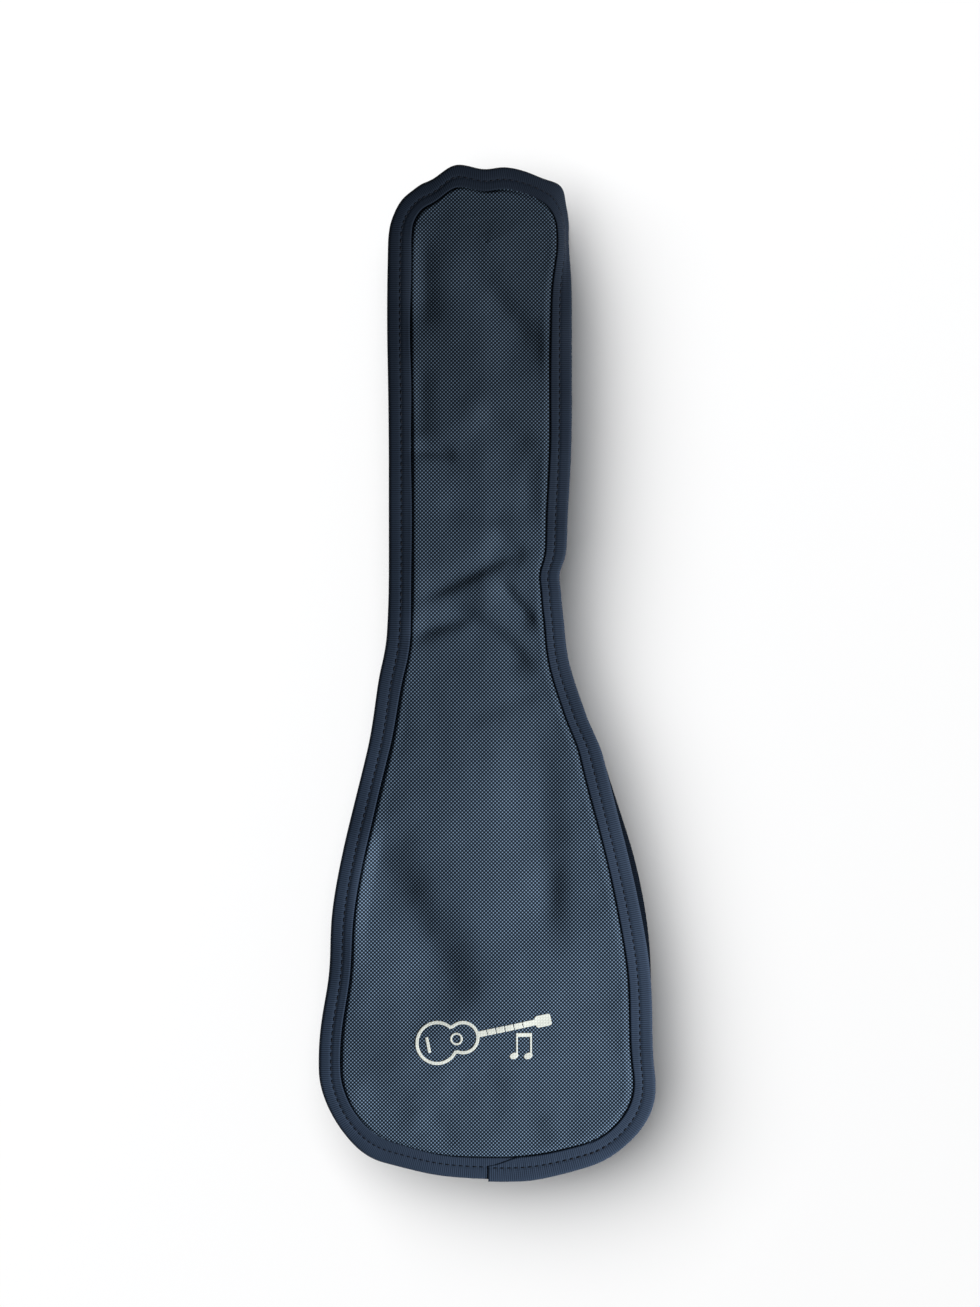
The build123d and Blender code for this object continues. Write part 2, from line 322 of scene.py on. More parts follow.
@dataclass(frozen=True)
class BagSizes:
    """Driving dimensions, mm. The overall ones come from the frame, the radii are the pattern's."""

    half_length: float
    half_body: float
    height: float
    zip_z: float
    zip_head_y: float
    zip_tail_y: float
    fold_tail: tuple[float, float]
    fold_turn: tuple[float, float]
    neck_half: float = 52.0
    tail_crown_radius: float = 170.0
    tail_corner_radius: float = 56.0
    flank_radius: float = 550.0
    flank_turn: float = math.radians(14.0)
    waist_radius: float = 80.0
    head_crown_radius: float = 70.0
    head_corner_radius: float = 30.0
    binding_width: float = 12.5
    binding_tape: float = 0.9
    flange: float = 3.3
    wall_inset: float = 12.9

    @staticmethod
    def from_frame() -> "BagSizes":
        """Sizes read from the bindings, the slider, the zip's end tabs and the flap's joint."""
        back_high = box_mm("back_binding")[1]
        slider_low, slider_high = box_mm("slider_body")
        tabs_low, tabs_high = box_mm("zip_end_tabs")
        tab_length = 12.0
        hinge = joint("flap_fold")
        return BagSizes(
            half_length=float(back_high[1]),
            half_body=float(back_high[0]),
            height=float(box_mm("front_binding_flap")[1][2]),
            zip_z=float(slider_low[2] + slider_high[2]) / 2.0,
            zip_head_y=float(tabs_high[1]) - tab_length,
            zip_tail_y=float(tabs_low[1]),
            fold_tail=(hinge["pos_m"][0] / MM, hinge["pos_m"][1] / MM),
            fold_turn=(-hinge["axis"][0], -hinge["axis"][1]),
        )

    def flat(self, inset: float) -> tuple[float, float]:
        """Width and length inside an inset, metres."""
        return (2 * self.half_body - 2 * inset) * MM, (2 * self.half_length - 2 * inset) * MM

    def blend_span(self) -> tuple[tuple, tuple]:
        """Start on the fold line and end on the flap's side of it, metres."""
        reach = 22.0
        x, y = self.fold_tail
        across = (self.fold_turn[1], -self.fold_turn[0])
        return ((x * MM, y * MM, self.height * MM),
                ((x + across[0] * reach) * MM, (y + across[1] * reach) * MM, self.height * MM))


class Outline:
    """Closed outline as a chain of runs, each of one curvature; every arc keeps its centre."""

    def __init__(self, sizes: BagSizes) -> None:
        """Work out the runs of one half from the sizes, and mirror them for the other half."""
        crown_gap = sizes.tail_crown_radius - sizes.tail_corner_radius
        corner_x = sizes.half_body - sizes.tail_corner_radius
        tail_turn = math.asin(corner_x / crown_gap)
        corner_y = sizes.tail_crown_radius - sizes.half_length - crown_gap * math.cos(tail_turn)
        bend_radii = sizes.flank_radius + sizes.waist_radius
        narrowing = sizes.half_body - sizes.neck_half
        flank_run = (narrowing - bend_radii * (1 - math.cos(sizes.flank_turn))) / math.sin(sizes.flank_turn)
        waist_y = (corner_y + bend_radii * math.sin(sizes.flank_turn)
                   + flank_run * math.cos(sizes.flank_turn))
        head_gap = sizes.head_crown_radius - sizes.head_corner_radius
        head_turn = math.asin((sizes.neck_half - sizes.head_corner_radius) / head_gap)
        head_y = sizes.half_length - sizes.head_crown_radius + head_gap * math.cos(head_turn)
        half = [
            (tail_turn, 1 / sizes.tail_crown_radius),
            (math.pi / 2 - tail_turn, 1 / sizes.tail_corner_radius),
            (sizes.flank_turn, 1 / sizes.flank_radius),
            (flank_run, 0.0),
            (-sizes.flank_turn, -1 / sizes.waist_radius),
            (head_y - waist_y, 0.0),
            (math.pi / 2 - head_turn, 1 / sizes.head_corner_radius),
            (head_turn, 1 / sizes.head_crown_radius),
        ]
        runs = half + half[::-1]
        self.bends = np.array([bend for _, bend in runs])
        self.lengths = np.array([size / bend if bend else size for size, bend in runs])
        turns = self.lengths * self.bends
        self.headings = np.concatenate([[0.0], np.cumsum(turns)[:-1]])
        chords = self.lengths * np.sinc(turns / TURN)
        middle = self.headings + turns / 2
        steps = np.stack([chords * np.cos(middle), chords * np.sin(middle)], axis=1)
        first = np.array([[0.0, -sizes.half_length]])
        self.corners = np.concatenate([first, first + np.cumsum(steps, axis=0)[:-1]])
        self.starts = np.concatenate([[0.0], np.cumsum(self.lengths)[:-1]])
        self.total = float(self.lengths.sum())

    def run_at(self, s: Array) -> tuple[Array, Array]:
        """Number of the run at distance s and how far s is along it."""
        run = np.clip(np.searchsorted(self.starts, s, side="right") - 1, 0, len(self.starts) - 1)
        return run, s - self.starts[run]

    def at(self, s: Array, inset: Array) -> tuple[Array, Array]:
        """Points at distance s along the outline, moved inwards.

        Within a run of curvature k the chord from its start is d sin(kd/2) / (kd/2) at the heading
        half-way, and the inward normal is the heading turned left.

        Args:
            s: Distance along the outline, mm.
            inset: Distance inwards, mm; it broadcasts with s.

        Returns:
            The two coordinates.
        """
        s, inset = np.broadcast_arrays(np.mod(s, self.total), inset)
        run, travel = self.run_at(s)
        turn = travel * self.bends[run]
        chord = travel * np.sinc(turn / TURN)
        middle = self.headings[run] + turn / 2
        heading = self.headings[run] + turn
        x = self.corners[run, 0] + chord * np.cos(middle) - inset * np.sin(heading)
        y = self.corners[run, 1] + chord * np.sin(middle) + inset * np.cos(heading)
        return x, y

    def outward(self, s: Array) -> tuple[Array, Array]:
        """Outward unit normal at distance s, its two coordinates."""
        run, travel = self.run_at(np.mod(s, self.total))
        heading = self.headings[run] + travel * self.bends[run]
        return np.sin(heading), -np.cos(heading)

    def zip_ends(self, sizes: BagSizes) -> tuple[float, float]:
        """Distances along the outline of the zip's tail end (below zero) and head end."""
        s = np.linspace(0.0, self.total / 2, 4001)
        y = self.at(s, sizes.wall_inset)[1]
        return -float(np.interp(sizes.zip_tail_y, y, s)), float(np.interp(sizes.zip_head_y, y, s))

    def area(self, inset: float) -> float:
        """Area inside the outline at an inset, square metres, by the shoelace sum."""
        x, y = self.at(np.linspace(0.0, self.total, 4000, endpoint=False), inset)
        return 0.5 * abs(float(np.dot(x, np.roll(y, -1)) - np.dot(y, np.roll(x, -1)))) * MM * MM


def spaced(start: float, end: float, step: float) -> Array:
    """Distances from start to end about a step apart, both ends included."""
    return np.linspace(start, end, int(round((end - start) / step)) + 1)


# ---------------------------------------------------------------- how the sewn bag lies
@dataclass(frozen=True)
class Fold:
    """Soft valley in the front panel, from one end of its bottom to the other, mm.

    The wall towards the window is the steep one, so it is the shaded one.
    """

    x0: float
    y0: float
    x1: float
    y1: float
    depth: float
    steep: float
    gentle: float
    bow: float = 0.0

    def height(self, x: Array, y: Array) -> Array:
        """Minus the depth, times exp(-(v/width)^2) across and exp(-u^4) along the valley, mm."""
        run = np.array([self.x1 - self.x0, self.y1 - self.y0])
        length = float(np.linalg.norm(run))
        run = run / length
        side = np.array([run[1], -run[0]])
        if side @ np.array(WINDOW_SIDE) < 0:
            side = -side
        px, py = x - (self.x0 + self.x1) / 2, y - (self.y0 + self.y1) / 2
        u = (px * run[0] + py * run[1]) / (length / 2)
        v = px * side[0] + py * side[1] - self.bow * (1 - u * u)
        width = np.where(v > 0, self.steep, self.gentle)
        return -self.depth * np.exp(-((v / width) ** 2)) * np.exp(-(u ** 4))


FRONT_FOLDS = (
    Fold(-67, -99, -16, -188, 6.4, 17, 28),
    Fold(29, -40, 33, -158, 3.6, 13, 26),
    Fold(37, -106, 37, -142, 1.2, 7, 11),
    Fold(-17, 34, 27, 2, 3.6, 6, 12, 2.0),
    Fold(-44, 20, -10, 33, 2.8, 5, 9),
    Fold(8, 49, 31, 28, 3.2, 5, 9),
    Fold(-34, 43, 13, 67, 2.1, 4, 8),
    Fold(5, 78, 24, 66, 1.6, 5, 10),
    Fold(-23, 95, 13, 87, 1.4, 6, 12),
    Fold(24, 124, 25, 84, 1.4, 9, 16),
    Fold(-4, 148, 24, 128, 2.5, 9, 16),
    Fold(-40, 178, -42, 130, 3.0, 10, 5),
    Fold(-42, 126, -18, 123, 2.3, 3.5, 5, -2.0),
    Fold(-11, 232, 30, 178, 3.3, 12, 18),
    Fold(2, 214, 24, 190, 1.2, 8, 11),
    Fold(-41, 248, -38, 200, 4.4, 14, 7),
    Fold(-9, -26, 36, -8, 0.9, 5, 9),
    Fold(-52, -12, -54, -45, 1.5, 9, 5),
    Fold(-58, -40, -72, -85, 1.4, 12, 6),
    Fold(-18, -228, 12, -240, 0.9, 9, 12),
    Fold(-68, -236, -44, -254, 1.3, 9, 12),
    Fold(-34, -252, -18, -268, 0.8, 6, 9),
    Fold(34, -252, 42, -268, -0.5, 5, 7),
)
FOLD_STRENGTH = 1.35

# Bells (height, centre, width), mm, that shift the front's edges: along Y, then across X.
RIGHT_EDGE = ((-1.3, 8, 34), (-2.4, 56, 8), (-1.6, 92, 30), (-1.6, 250, 20), (2.4, -262, 24),
              (0.6, -150, 50), (-3.0, 44, 17), (1.3, -172, 34), (2.6, -246, 20), (3.4, 276, 7))
LEFT_EDGE = ((-1.6, 6, 26), (-1.0, 205, 46), (1.6, 268, 12), (3.3, -172, 26), (4.2, -268, 26),
             (-0.6, -80, 30), (1.4, 277, 6), (-1.2, -262, 18))
HEAD_EDGE = ((1.6, -17, 7), (-3.0, 0, 9), (-0.4, 15, 9), (-2.2, -30, 7), (-1.0, -41, 5), (2.4, 43, 7))
TAIL_EDGE = ((-1.0, 14, 26), (1.9, 4, 26), (-3.6, -76, 20), (-1.2, 66, 14))


@dataclass(frozen=True)
class Drape:
    """How far the sewn bag lies from its pattern: a smooth shift of every soft point."""

    sizes: BagSizes
    outline: Outline
    tuck_y: float = 247.0
    tuck_pull: float = 5.6
    tuck_droop: float = 7.0

    def side_shift(self, x: Array, y: Array) -> Array:
        """Sideways shift of the front, mm: a sum of bells and steps in y for each side."""
        half = self.sizes.neck_half + (self.sizes.half_body - self.sizes.neck_half) * smooth(40, -190, y)
        neck = smooth(-46, 4, y)
        right = bells(y, RIGHT_EDGE) - 2.4 * neck - 2.3 * smooth(112, 52, y) * smooth(-48, -24, y)
        left = bells(y, LEFT_EDGE) - 2.2 * neck - 0.8 * smooth(-80, -20, y) * smooth(262, 246, y)
        share = x / half
        return right * smooth(0.1, 1.0, share) + left * smooth(0.1, 1.0, -share)

    def end_shift(self, x: Array, y: Array) -> Array:
        """Lengthwise shift of the front, mm: waves in the head edge and a slight lean of the tail."""
        tail = bells(x, TAIL_EDGE) - 0.022 * x
        return bells(x, HEAD_EDGE) * smooth(238, 280, y) + tail * smooth(-215, -285, y)

    def back_shift(self, x: Array, y: Array) -> Array:
        """Sideways shift of the back, mm, which spreads on the zip side of the lower bout."""
        return 0.95 * self.side_shift(x, y) + 4.8 * bell(y, -122, 66) * smooth(30, 84, x)

    def around(self, s: Array, seed: int, radius: float, size: float) -> Array:
        """Ripples along the outline that join up where it closes, as if laid round a circle."""
        angle = s * (TURN / self.outline.total)
        return ripples(radius * np.cos(angle), radius * np.sin(angle), seed, size)

    def flange_wave(self, s: Array, inset: Array) -> Array:
        """Rise of the front binding, mm: it droops outwards and waves more at its outer edge."""
        out = np.clip(1 - inset / self.sizes.binding_width, 0.0, 1.0)
        wave = self.around(s, 11, 180, 74.0)
        return out * (0.9 * wave + 0.25 * self.around(s, 12, 180, 23.0) - 1.5)

    def relief(self, x: Array, y: Array, inset: Array) -> Array:
        """Folds and unevenness of the front panel, mm, fading into its seam."""
        inside = smooth(9, 22, inset)
        folds = FOLD_STRENGTH * sum(fold.height(x, y) for fold in FRONT_FOLDS)
        uneven = 0.5 * ripples(x, y * 0.8, 5, 58.0) + 0.22 * ripples(x, y, 6, 21.0)
        uneven = uneven + 0.07 * ripples(x, y, 7, 8.0)
        return inside * (folds + uneven) + (1 - inside) * 0.12 * folds

    def __call__(self, x: Array, y: Array, z: Array, s: Optional[Array] = None,
                 inset: Optional[Array] = None) -> Array:
        """Shifted points.

        The front shift fades out between the front face and the zip, the back shift between the
        back face and the zip, so that the zip stays where the slider runs.

        Args:
            x: Across the bag, mm.
            y: Along the bag, mm.
            z: Height, mm.
            s: Distance along the outline for pieces at the binding, or None.
            inset: Distance inwards from the outline, or None for pieces well inside it.

        Returns:
            Points, mm, with the coordinates last.
        """
        x, y, z = (np.asarray(value, float) for value in np.broadcast_arrays(x, y, z))
        top = self.sizes.height
        front = smooth(top - 13, top - 3, z)
        back = smooth(18, 4, z)
        depth = np.full(x.shape, 60.0) if inset is None else np.broadcast_to(inset, x.shape)
        dx = front * self.side_shift(x, y) + back * self.back_shift(x, y)
        tuck = front * bell(y, self.tuck_y, 21) * smooth(8, 36, x)
        dx = dx + self.tuck_pull * tuck * smooth(0, 10, depth) * smooth(72, 13, depth)
        dy = (front + 0.6 * back) * self.end_shift(x, y)
        dz = smooth(top - 10, top - 5, z) * self.relief(x, y, depth)
        dz = dz - self.tuck_droop * tuck * smooth(14, 0, depth)
        if s is not None:
            dz = dz + front * self.flange_wave(np.broadcast_to(s, x.shape), depth)
        return np.stack([x + dx, y + dy, z + dz], axis=-1)


# ---------------------------------------------------------------- what every sub-assembly shares
class Side(Enum):
    """Which of the bag's two faces a piece belongs to."""

    FRONT = "front"
    BACK = "back"

    def nodes(self, part: str) -> tuple[str, ...]:
        """The frame's nodes of a part: the front ones are cut in two at the flap's fold."""
        ends = ("_fixed", "_flap") if self is Side.FRONT else ("",)
        return tuple(f"{self.value}_{part}{end}" for end in ends)

    @property
    def body(self) -> str:
        """What the face's pieces ride on."""
        return "fold" if self is Side.FRONT else "bag"


@dataclass
class Workshop:
    """The sizes, the outline, the drape and the finishes that every sub-assembly is made with."""

    sizes: BagSizes
    outline: Outline
    drape: Drape
    finishes: dict[str, bpy.types.Material]

    def sweep(self, s: Array, profile: Array, closed: bool = False, wave: bool = True) -> Patch:
        """Closed profile of insets and heights carried along the outline.

        Args:
            s: Distances along the outline, mm.
            profile: Array (points, 2), or (distances, points, 2) for one that changes on its way.
            closed: Whether the strip closes on itself all round the bag.
            wave: Whether the strip follows the front binding's wave.

        Returns:
            The strip, with UV along it and round the profile.
        """
        profile = np.broadcast_to(profile, (len(s), *profile.shape[-2:]))
        inset, z = profile[..., 0], profile[..., 1]
        x, y = self.outline.at(s[:, None], inset)
        points = self.drape(x, y, z, s[:, None] if wave else None, inset)
        around = path_length(np.concatenate([profile[0], profile[0][:1]]))
        along = np.append(s, s[-1] + s[1] - s[0]) if closed else s
        grid = Grid(len(s), profile.shape[1], rows_close=closed, columns_close=True)
        return Patch.from_grid(points, grid, along, around, capped=not closed)

    def ring(self, step: float) -> Array:
        """Distances all round the outline about a step apart, without the last."""
        return np.linspace(0.0, self.outline.total, int(self.outline.total / step), endpoint=False)

    def place(self, piece: Piece, finish: str, body: str, nodes: tuple[str, ...], slot: str) -> None:
        """Dress a piece and tie it to the frame, or only bake its place where it lies across the flap's
        fold.

        Args:
            piece: The finished piece.
            finish: Key of its material.
            body: Body that it rides on, or "fold" for a piece across the flap's fold, which is only baked
                in place.
            nodes: Nodes that it stands for.
            slot: Material slot of the record; not used.
        """
        piece.data.materials.append(self.finishes[finish])
        if nodes:
            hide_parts(*nodes)
        if body == "fold":
            start, end = self.sizes.blend_span()
            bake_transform(piece)
        else:
            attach(piece, body)
        LOG.info("%-28s %7d faces on %s", piece.name, len(piece.data.polygons), body)

    def place_thread(self, name: str, patch: Patch, body: str, nodes: tuple[str, ...] = ()) -> None:
        """Make and place one row of stitches or more."""
        self.place(make_piece(name, patch, merge=0.002), "thread", body, nodes, "thread")

    def stitches(self, s: Array, inset: float, z: Callable[[Array], Array], length: float = 3.1,
                 radius: float = 0.36, upright: bool = False) -> Patch:
        """Row of stitches, each a short closed capsule whose ends dive into the cloth.

        Args:
            s: Middle of each stitch along the outline, mm.
            inset: Inset of the row, mm.
            z: Height of the row as a function of s.
            length: Length of a stitch, mm.
            radius: Radius of the thread, mm.
            upright: Whether the row lies on a side wall, so that the ends dive inwards.

        Returns:
            The patch.
        """
        along = np.array([-0.5, -0.44, -0.22, 0.22, 0.44, 0.5]) * length
        share = np.array([0.0, 0.72, 1.0, 1.0, 0.72, 0.0])[None, :, None]
        dive = 0.42 * (2 * along / length)[None, :, None] ** 4
        turn = np.linspace(0.0, TURN, 7)[:-1]
        places = (s[:, None, None] + along[None, :, None]) + 0 * turn
        insets = inset + radius * share * np.cos(turn) + (dive if upright else 0.0)
        heights = z(places) + radius * share * np.sin(turn) - (0.0 if upright else dive)
        insets = np.broadcast_to(insets, places.shape)
        x, y = self.outline.at(places, insets)
        return Patch.capsules(self.drape(x, y, heights, places, insets), along, radius)

    def level_stitches(self, s: Array, inset: float, z: float, length: float = 3.1,
                       radius: float = 0.3) -> Patch:
        """Row of stitches at one height on a side wall."""
        return self.stitches(s, inset, lambda at: np.full(at.shape, z), length, radius, upright=True)


# ---------------------------------------------------------------- panels
@dataclass
class PanelNet:
    """Grid that fills the outline: parallel to it near the rim, then drawn in to a middle line."""

    shop: Workshop
    x: Array
    y: Array
    s: Array
    inset: Array

    @staticmethod
    def filling(shop: Workshop, first: float, step: float = 2.2, rim: float = 26.0) -> "PanelNet":
        """Net from a first inset to the middle.

        Beyond the rim a point is the rim's point moved a share of the way to the nearest point of
        the middle line, x = 0 between the tail and head crowns.

        Args:
            shop: What the bag is made with.
            first: First inset, mm.
            step: Spacing of the points along the outline, mm.
            rim: Inset where the grid stops being parallel, mm.

        Returns:
            The net.
        """
        s = shop.ring(step)
        if len(s) % 2:
            s = np.linspace(0.0, shop.outline.total, len(s) + 1, endpoint=False)
        near = np.arange(first, min(rim, 22.0), 0.8)
        rings = np.concatenate([near, [24.0, rim]])
        x, y = shop.outline.at(s[:, None], rings[None, :])
        share = np.linspace(0.0, 1.0, 31)[1:]
        rim_x, rim_y = x[:, -1:], y[:, -1:]
        middle_y = np.clip(rim_y, -212.0, 244.0)
        inset = np.concatenate([np.broadcast_to(rings, x.shape),
                                rim + share * np.hypot(rim_x, middle_y - rim_y)], axis=1)
        return PanelNet(shop, np.concatenate([x, rim_x * (1 - share)], axis=1),
                        np.concatenate([y, rim_y + (middle_y - rim_y) * share], axis=1),
                        np.broadcast_to(s[:, None], inset.shape), inset)

    def sheet(self, z: Array, downwards: bool) -> Patch:
        """Open cloth over the net at the given heights, facing up or down."""
        points = self.shop.drape(self.x, self.y, z, self.s, self.inset)
        patch = Patch.from_grid(points, Grid(*z.shape, rows_close=True))
        if downwards:
            patch.quads = patch.quads[:, ::-1]
        return patch

    def pad(self, low: Array, high: Array) -> Patch:
        """Closed form between two heights over the net, joined round its rim."""
        x, y, s, inset = (np.concatenate([a[:, ::-1], a], axis=1)
                          for a in (self.x, self.y, self.s, self.inset))
        z = np.concatenate([low[:, ::-1], high], axis=1)
        return Patch.from_grid(self.shop.drape(x, y, z, s, inset), Grid(*z.shape, rows_close=True))


@dataclass
class Panel:
    """Outer cloth, padding and lining of one face; the front ones lie across the flap's fold."""

    shop: Workshop
    side: Side
    held: str
    cloth: float = 0.5
    padding: float = 2.8
    lining: float = 0.35
    gap: float = 0.1
    cloth_inset: float = 1.4
    inner_inset: float = 14.4
    seam_depth: float = 0.95
    puff: float = 2.0
    puff_reach: float = 60.0

    def surface(self, net: PanelNet) -> Array:
        """Height of the outer cloth before the drape, mm.

        In front it is level in the seam, has a groove beside the binding and then rises smoothly to
        the padded field; the groove is deep and steep away from the window and shallow and wide
        towards it. At the back it is level in the seam, grooved and then nearly flat.
        """
        size = self.shop.sizes
        edge = size.binding_width + 0.7
        if self.side is Side.BACK:
            seam = 1.4 + 1.0 * bell(net.inset, edge, 1.5)
            laid = 0.45 + 0.3 * ripples(net.x, net.y, 31, 64.0) + 0.1 * ripples(net.x, net.y, 32, 17.0)
            rise = smooth(edge, edge + 6.0, net.inset)
            return np.maximum(seam * (1 - rise) + laid * rise, 0.02)
        out_x, out_y = self.shop.outline.outward(net.s)
        lit = smooth(-0.5, 0.8, out_x * WINDOW_SIDE[0] + out_y * WINDOW_SIDE[1])
        groove = 1.7 * (1 - lit) * bell(net.inset, edge - 0.2, 0.9)
        rise = smooth(0.0, 1.0, (net.inset - edge + 0.8) / (1.6 + 3.0 * lit))
        puff = self.puff * smooth(edge, self.puff_reach, net.inset)
        return size.height + (-self.seam_depth - groove) * (1 - rise) + puff

    def layer(self, name: str, patch: Patch, finish: str, part: str, slot: str, thickness: float,
              flat_inset: float, area_inset: float) -> None:
        """Make and place one open cloth of the face, which rests on the padding."""
        shop, side = self.shop, self.side
        piece = make_piece(f"{side.value}_{name}", patch, merge=0.01, closed=False)
        solidify(piece, thickness, -1.0)
        shop.place(piece, finish, side.body, side.nodes(part), slot)
        shop.sizes.flat(flat_inset)
        shop.outline.area(area_inset)

    def build(self) -> None:
        """Make and place the three layers."""
        shop, side = self.shop, self.side
        front = side is Side.FRONT
        up = 1.0 if front else -1.0
        wide = PanelNet.filling(shop, self.cloth_inset)
        self.layer("panel_cloth", wide.sheet(self.surface(wide), not front), "panel", "panel_outer",
                   "panel_cloth", self.cloth, 1.0, self.cloth_inset)

        inner = PanelNet.filling(shop, self.inner_inset)
        near = self.surface(inner) - up * (self.cloth + self.gap)
        thick = self.padding * (0.25 + 0.75 * smooth(14.0, 24.0, inner.inset))
        far = near - up * thick
        pad = make_piece(f"{side.value}_panel_padding",
                         inner.pad(np.minimum(near, far), np.maximum(near, far)), merge=0.01)
        shop.place(pad, "foam", side.body, side.nodes("panel_foam"), "foam")

        self.layer("panel_lining_cloth", inner.sheet(far - up * self.gap, front), "lining",
                   "panel_lining", "lining", self.lining, self.inner_inset, self.inner_inset)


@dataclass
class FlapPrint:
    """Generic ukulele and notes printed on the flap, cut out of a fine grid by a distance formula."""

    shop: Workshop
    height: float
    ink: float = 0.14
    from_tail: float = 85.0
    tilt: float = math.radians(12.0)
    cell: float = 0.28
    lower_bout: float = 12.5
    upper_bout: float = 9.5
    bout_gap: float = 15.0
    line: float = 0.95

    @staticmethod
    def disc(x: Array, y: Array, cx: float, rx: float, ry: float) -> Array:
        """Rough distance outside an ellipse on the X axis, (|p| - 1) times its smaller radius."""
        return (np.hypot((x - cx) / rx, y / ry) - 1) * min(rx, ry)

    @staticmethod
    def bar(x: Array, y: Array, cx: float, cy: float, hx: float, hy: float, round_by: float = 0.0) -> Array:
        """Distance outside a rectangle with rounded corners."""
        qx, qy = np.abs(x - cx) - hx + round_by, np.abs(y - cy) - hy + round_by
        outside = np.hypot(np.maximum(qx, 0), np.maximum(qy, 0))
        return outside + np.minimum(np.maximum(qx, qy), 0) - round_by

    @staticmethod
    def turned(x: Array, y: Array, angle: float) -> tuple[Array, Array]:
        """Coordinates along axes turned by an angle."""
        c, s = math.cos(angle), math.sin(angle)
        return x * c + y * s, -x * s + y * c

    def ukulele(self, x: Array, y: Array) -> Array:
        """Rim of two joined discs and a waist, sound hole, bridge, fretted neck and head."""
        gap = self.bout_gap
        body = np.minimum(self.disc(x, y, -gap, self.lower_bout, self.lower_bout),
                          self.disc(x, y, 0, self.upper_bout, self.upper_bout))
        waist = self.bar(x, y, -gap / 2, 0, gap / 2, self.upper_bout * 0.86, 1.5)
        neck = self.bar(x, y, 25.5, 0, 16.5, 1.7)
        head = self.bar(x, y, 46.5, 0, 4.5, 3.4, 1.4)
        rim = np.abs(np.minimum(body, waist) + self.line) - self.line
        hole = np.abs(self.disc(x, y, -gap * 0.25, 3.0, 3.0)) - 0.6
        bridge = self.bar(x, y, -gap * 1.35, 0, 0.9, 4.5, 0.4)
        frets = np.minimum.reduce([self.bar(x, y, 14.0 + 5.2 * i, 0, 0.22, 1.9) for i in range(5)])
        return np.minimum.reduce([rim, hole, bridge, head, np.maximum(neck, -frets)])

    def notes(self, x: Array, y: Array) -> Array:
        """Two note heads, their stems and the beam between them."""
        parts = [self.bar(x, y, 4.0, 11.9, 4.5, 1.1)]
        for stem in (0.0, 8.0):
            note_x, note_y = self.turned(x - stem + 1.6, y, 0.35)
            parts += [self.disc(note_x, note_y, 0, 2.5, 1.8), self.bar(x, y, stem, 6.5, 0.5, 6.5)]
        return np.minimum.reduce(parts)

    def build(self) -> None:
        """Keep the cells of a fine grid inside the print and pull its rim onto the true edge."""
        y0 = self.from_tail - self.shop.sizes.half_length
        x, y = np.meshgrid(np.arange(-44.0, 44.0, self.cell),
                           np.arange(y0 - 24.0, y0 + 24.0, self.cell), indexing="ij")
        along, across = self.turned(x, y - y0, self.tilt)
        gap = np.minimum(self.ukulele(along + 13, across), self.notes(x - 18, y - y0 + 13))
        quads = Grid(*x.shape).faces()
        quads = quads[(gap.ravel()[quads] < 0.5 * self.cell).all(axis=1)]
        slope_x, slope_y = np.gradient(gap, self.cell)
        near = np.where(gap > -0.5 * self.cell, gap, 0.0)
        points = self.shop.drape(x - near * slope_x, y - near * slope_y, self.height + 0.03)
        used, packed = np.unique(quads, return_inverse=True)
        patch = Patch(points.reshape(-1, 3)[used], packed.reshape(quads.shape))
        piece = make_piece("flap_print", patch, closed=False)
        solidify(piece, self.ink, 1.0)
        self.shop.place(piece, "ink", "flap", ("printed_emblem",), "print")


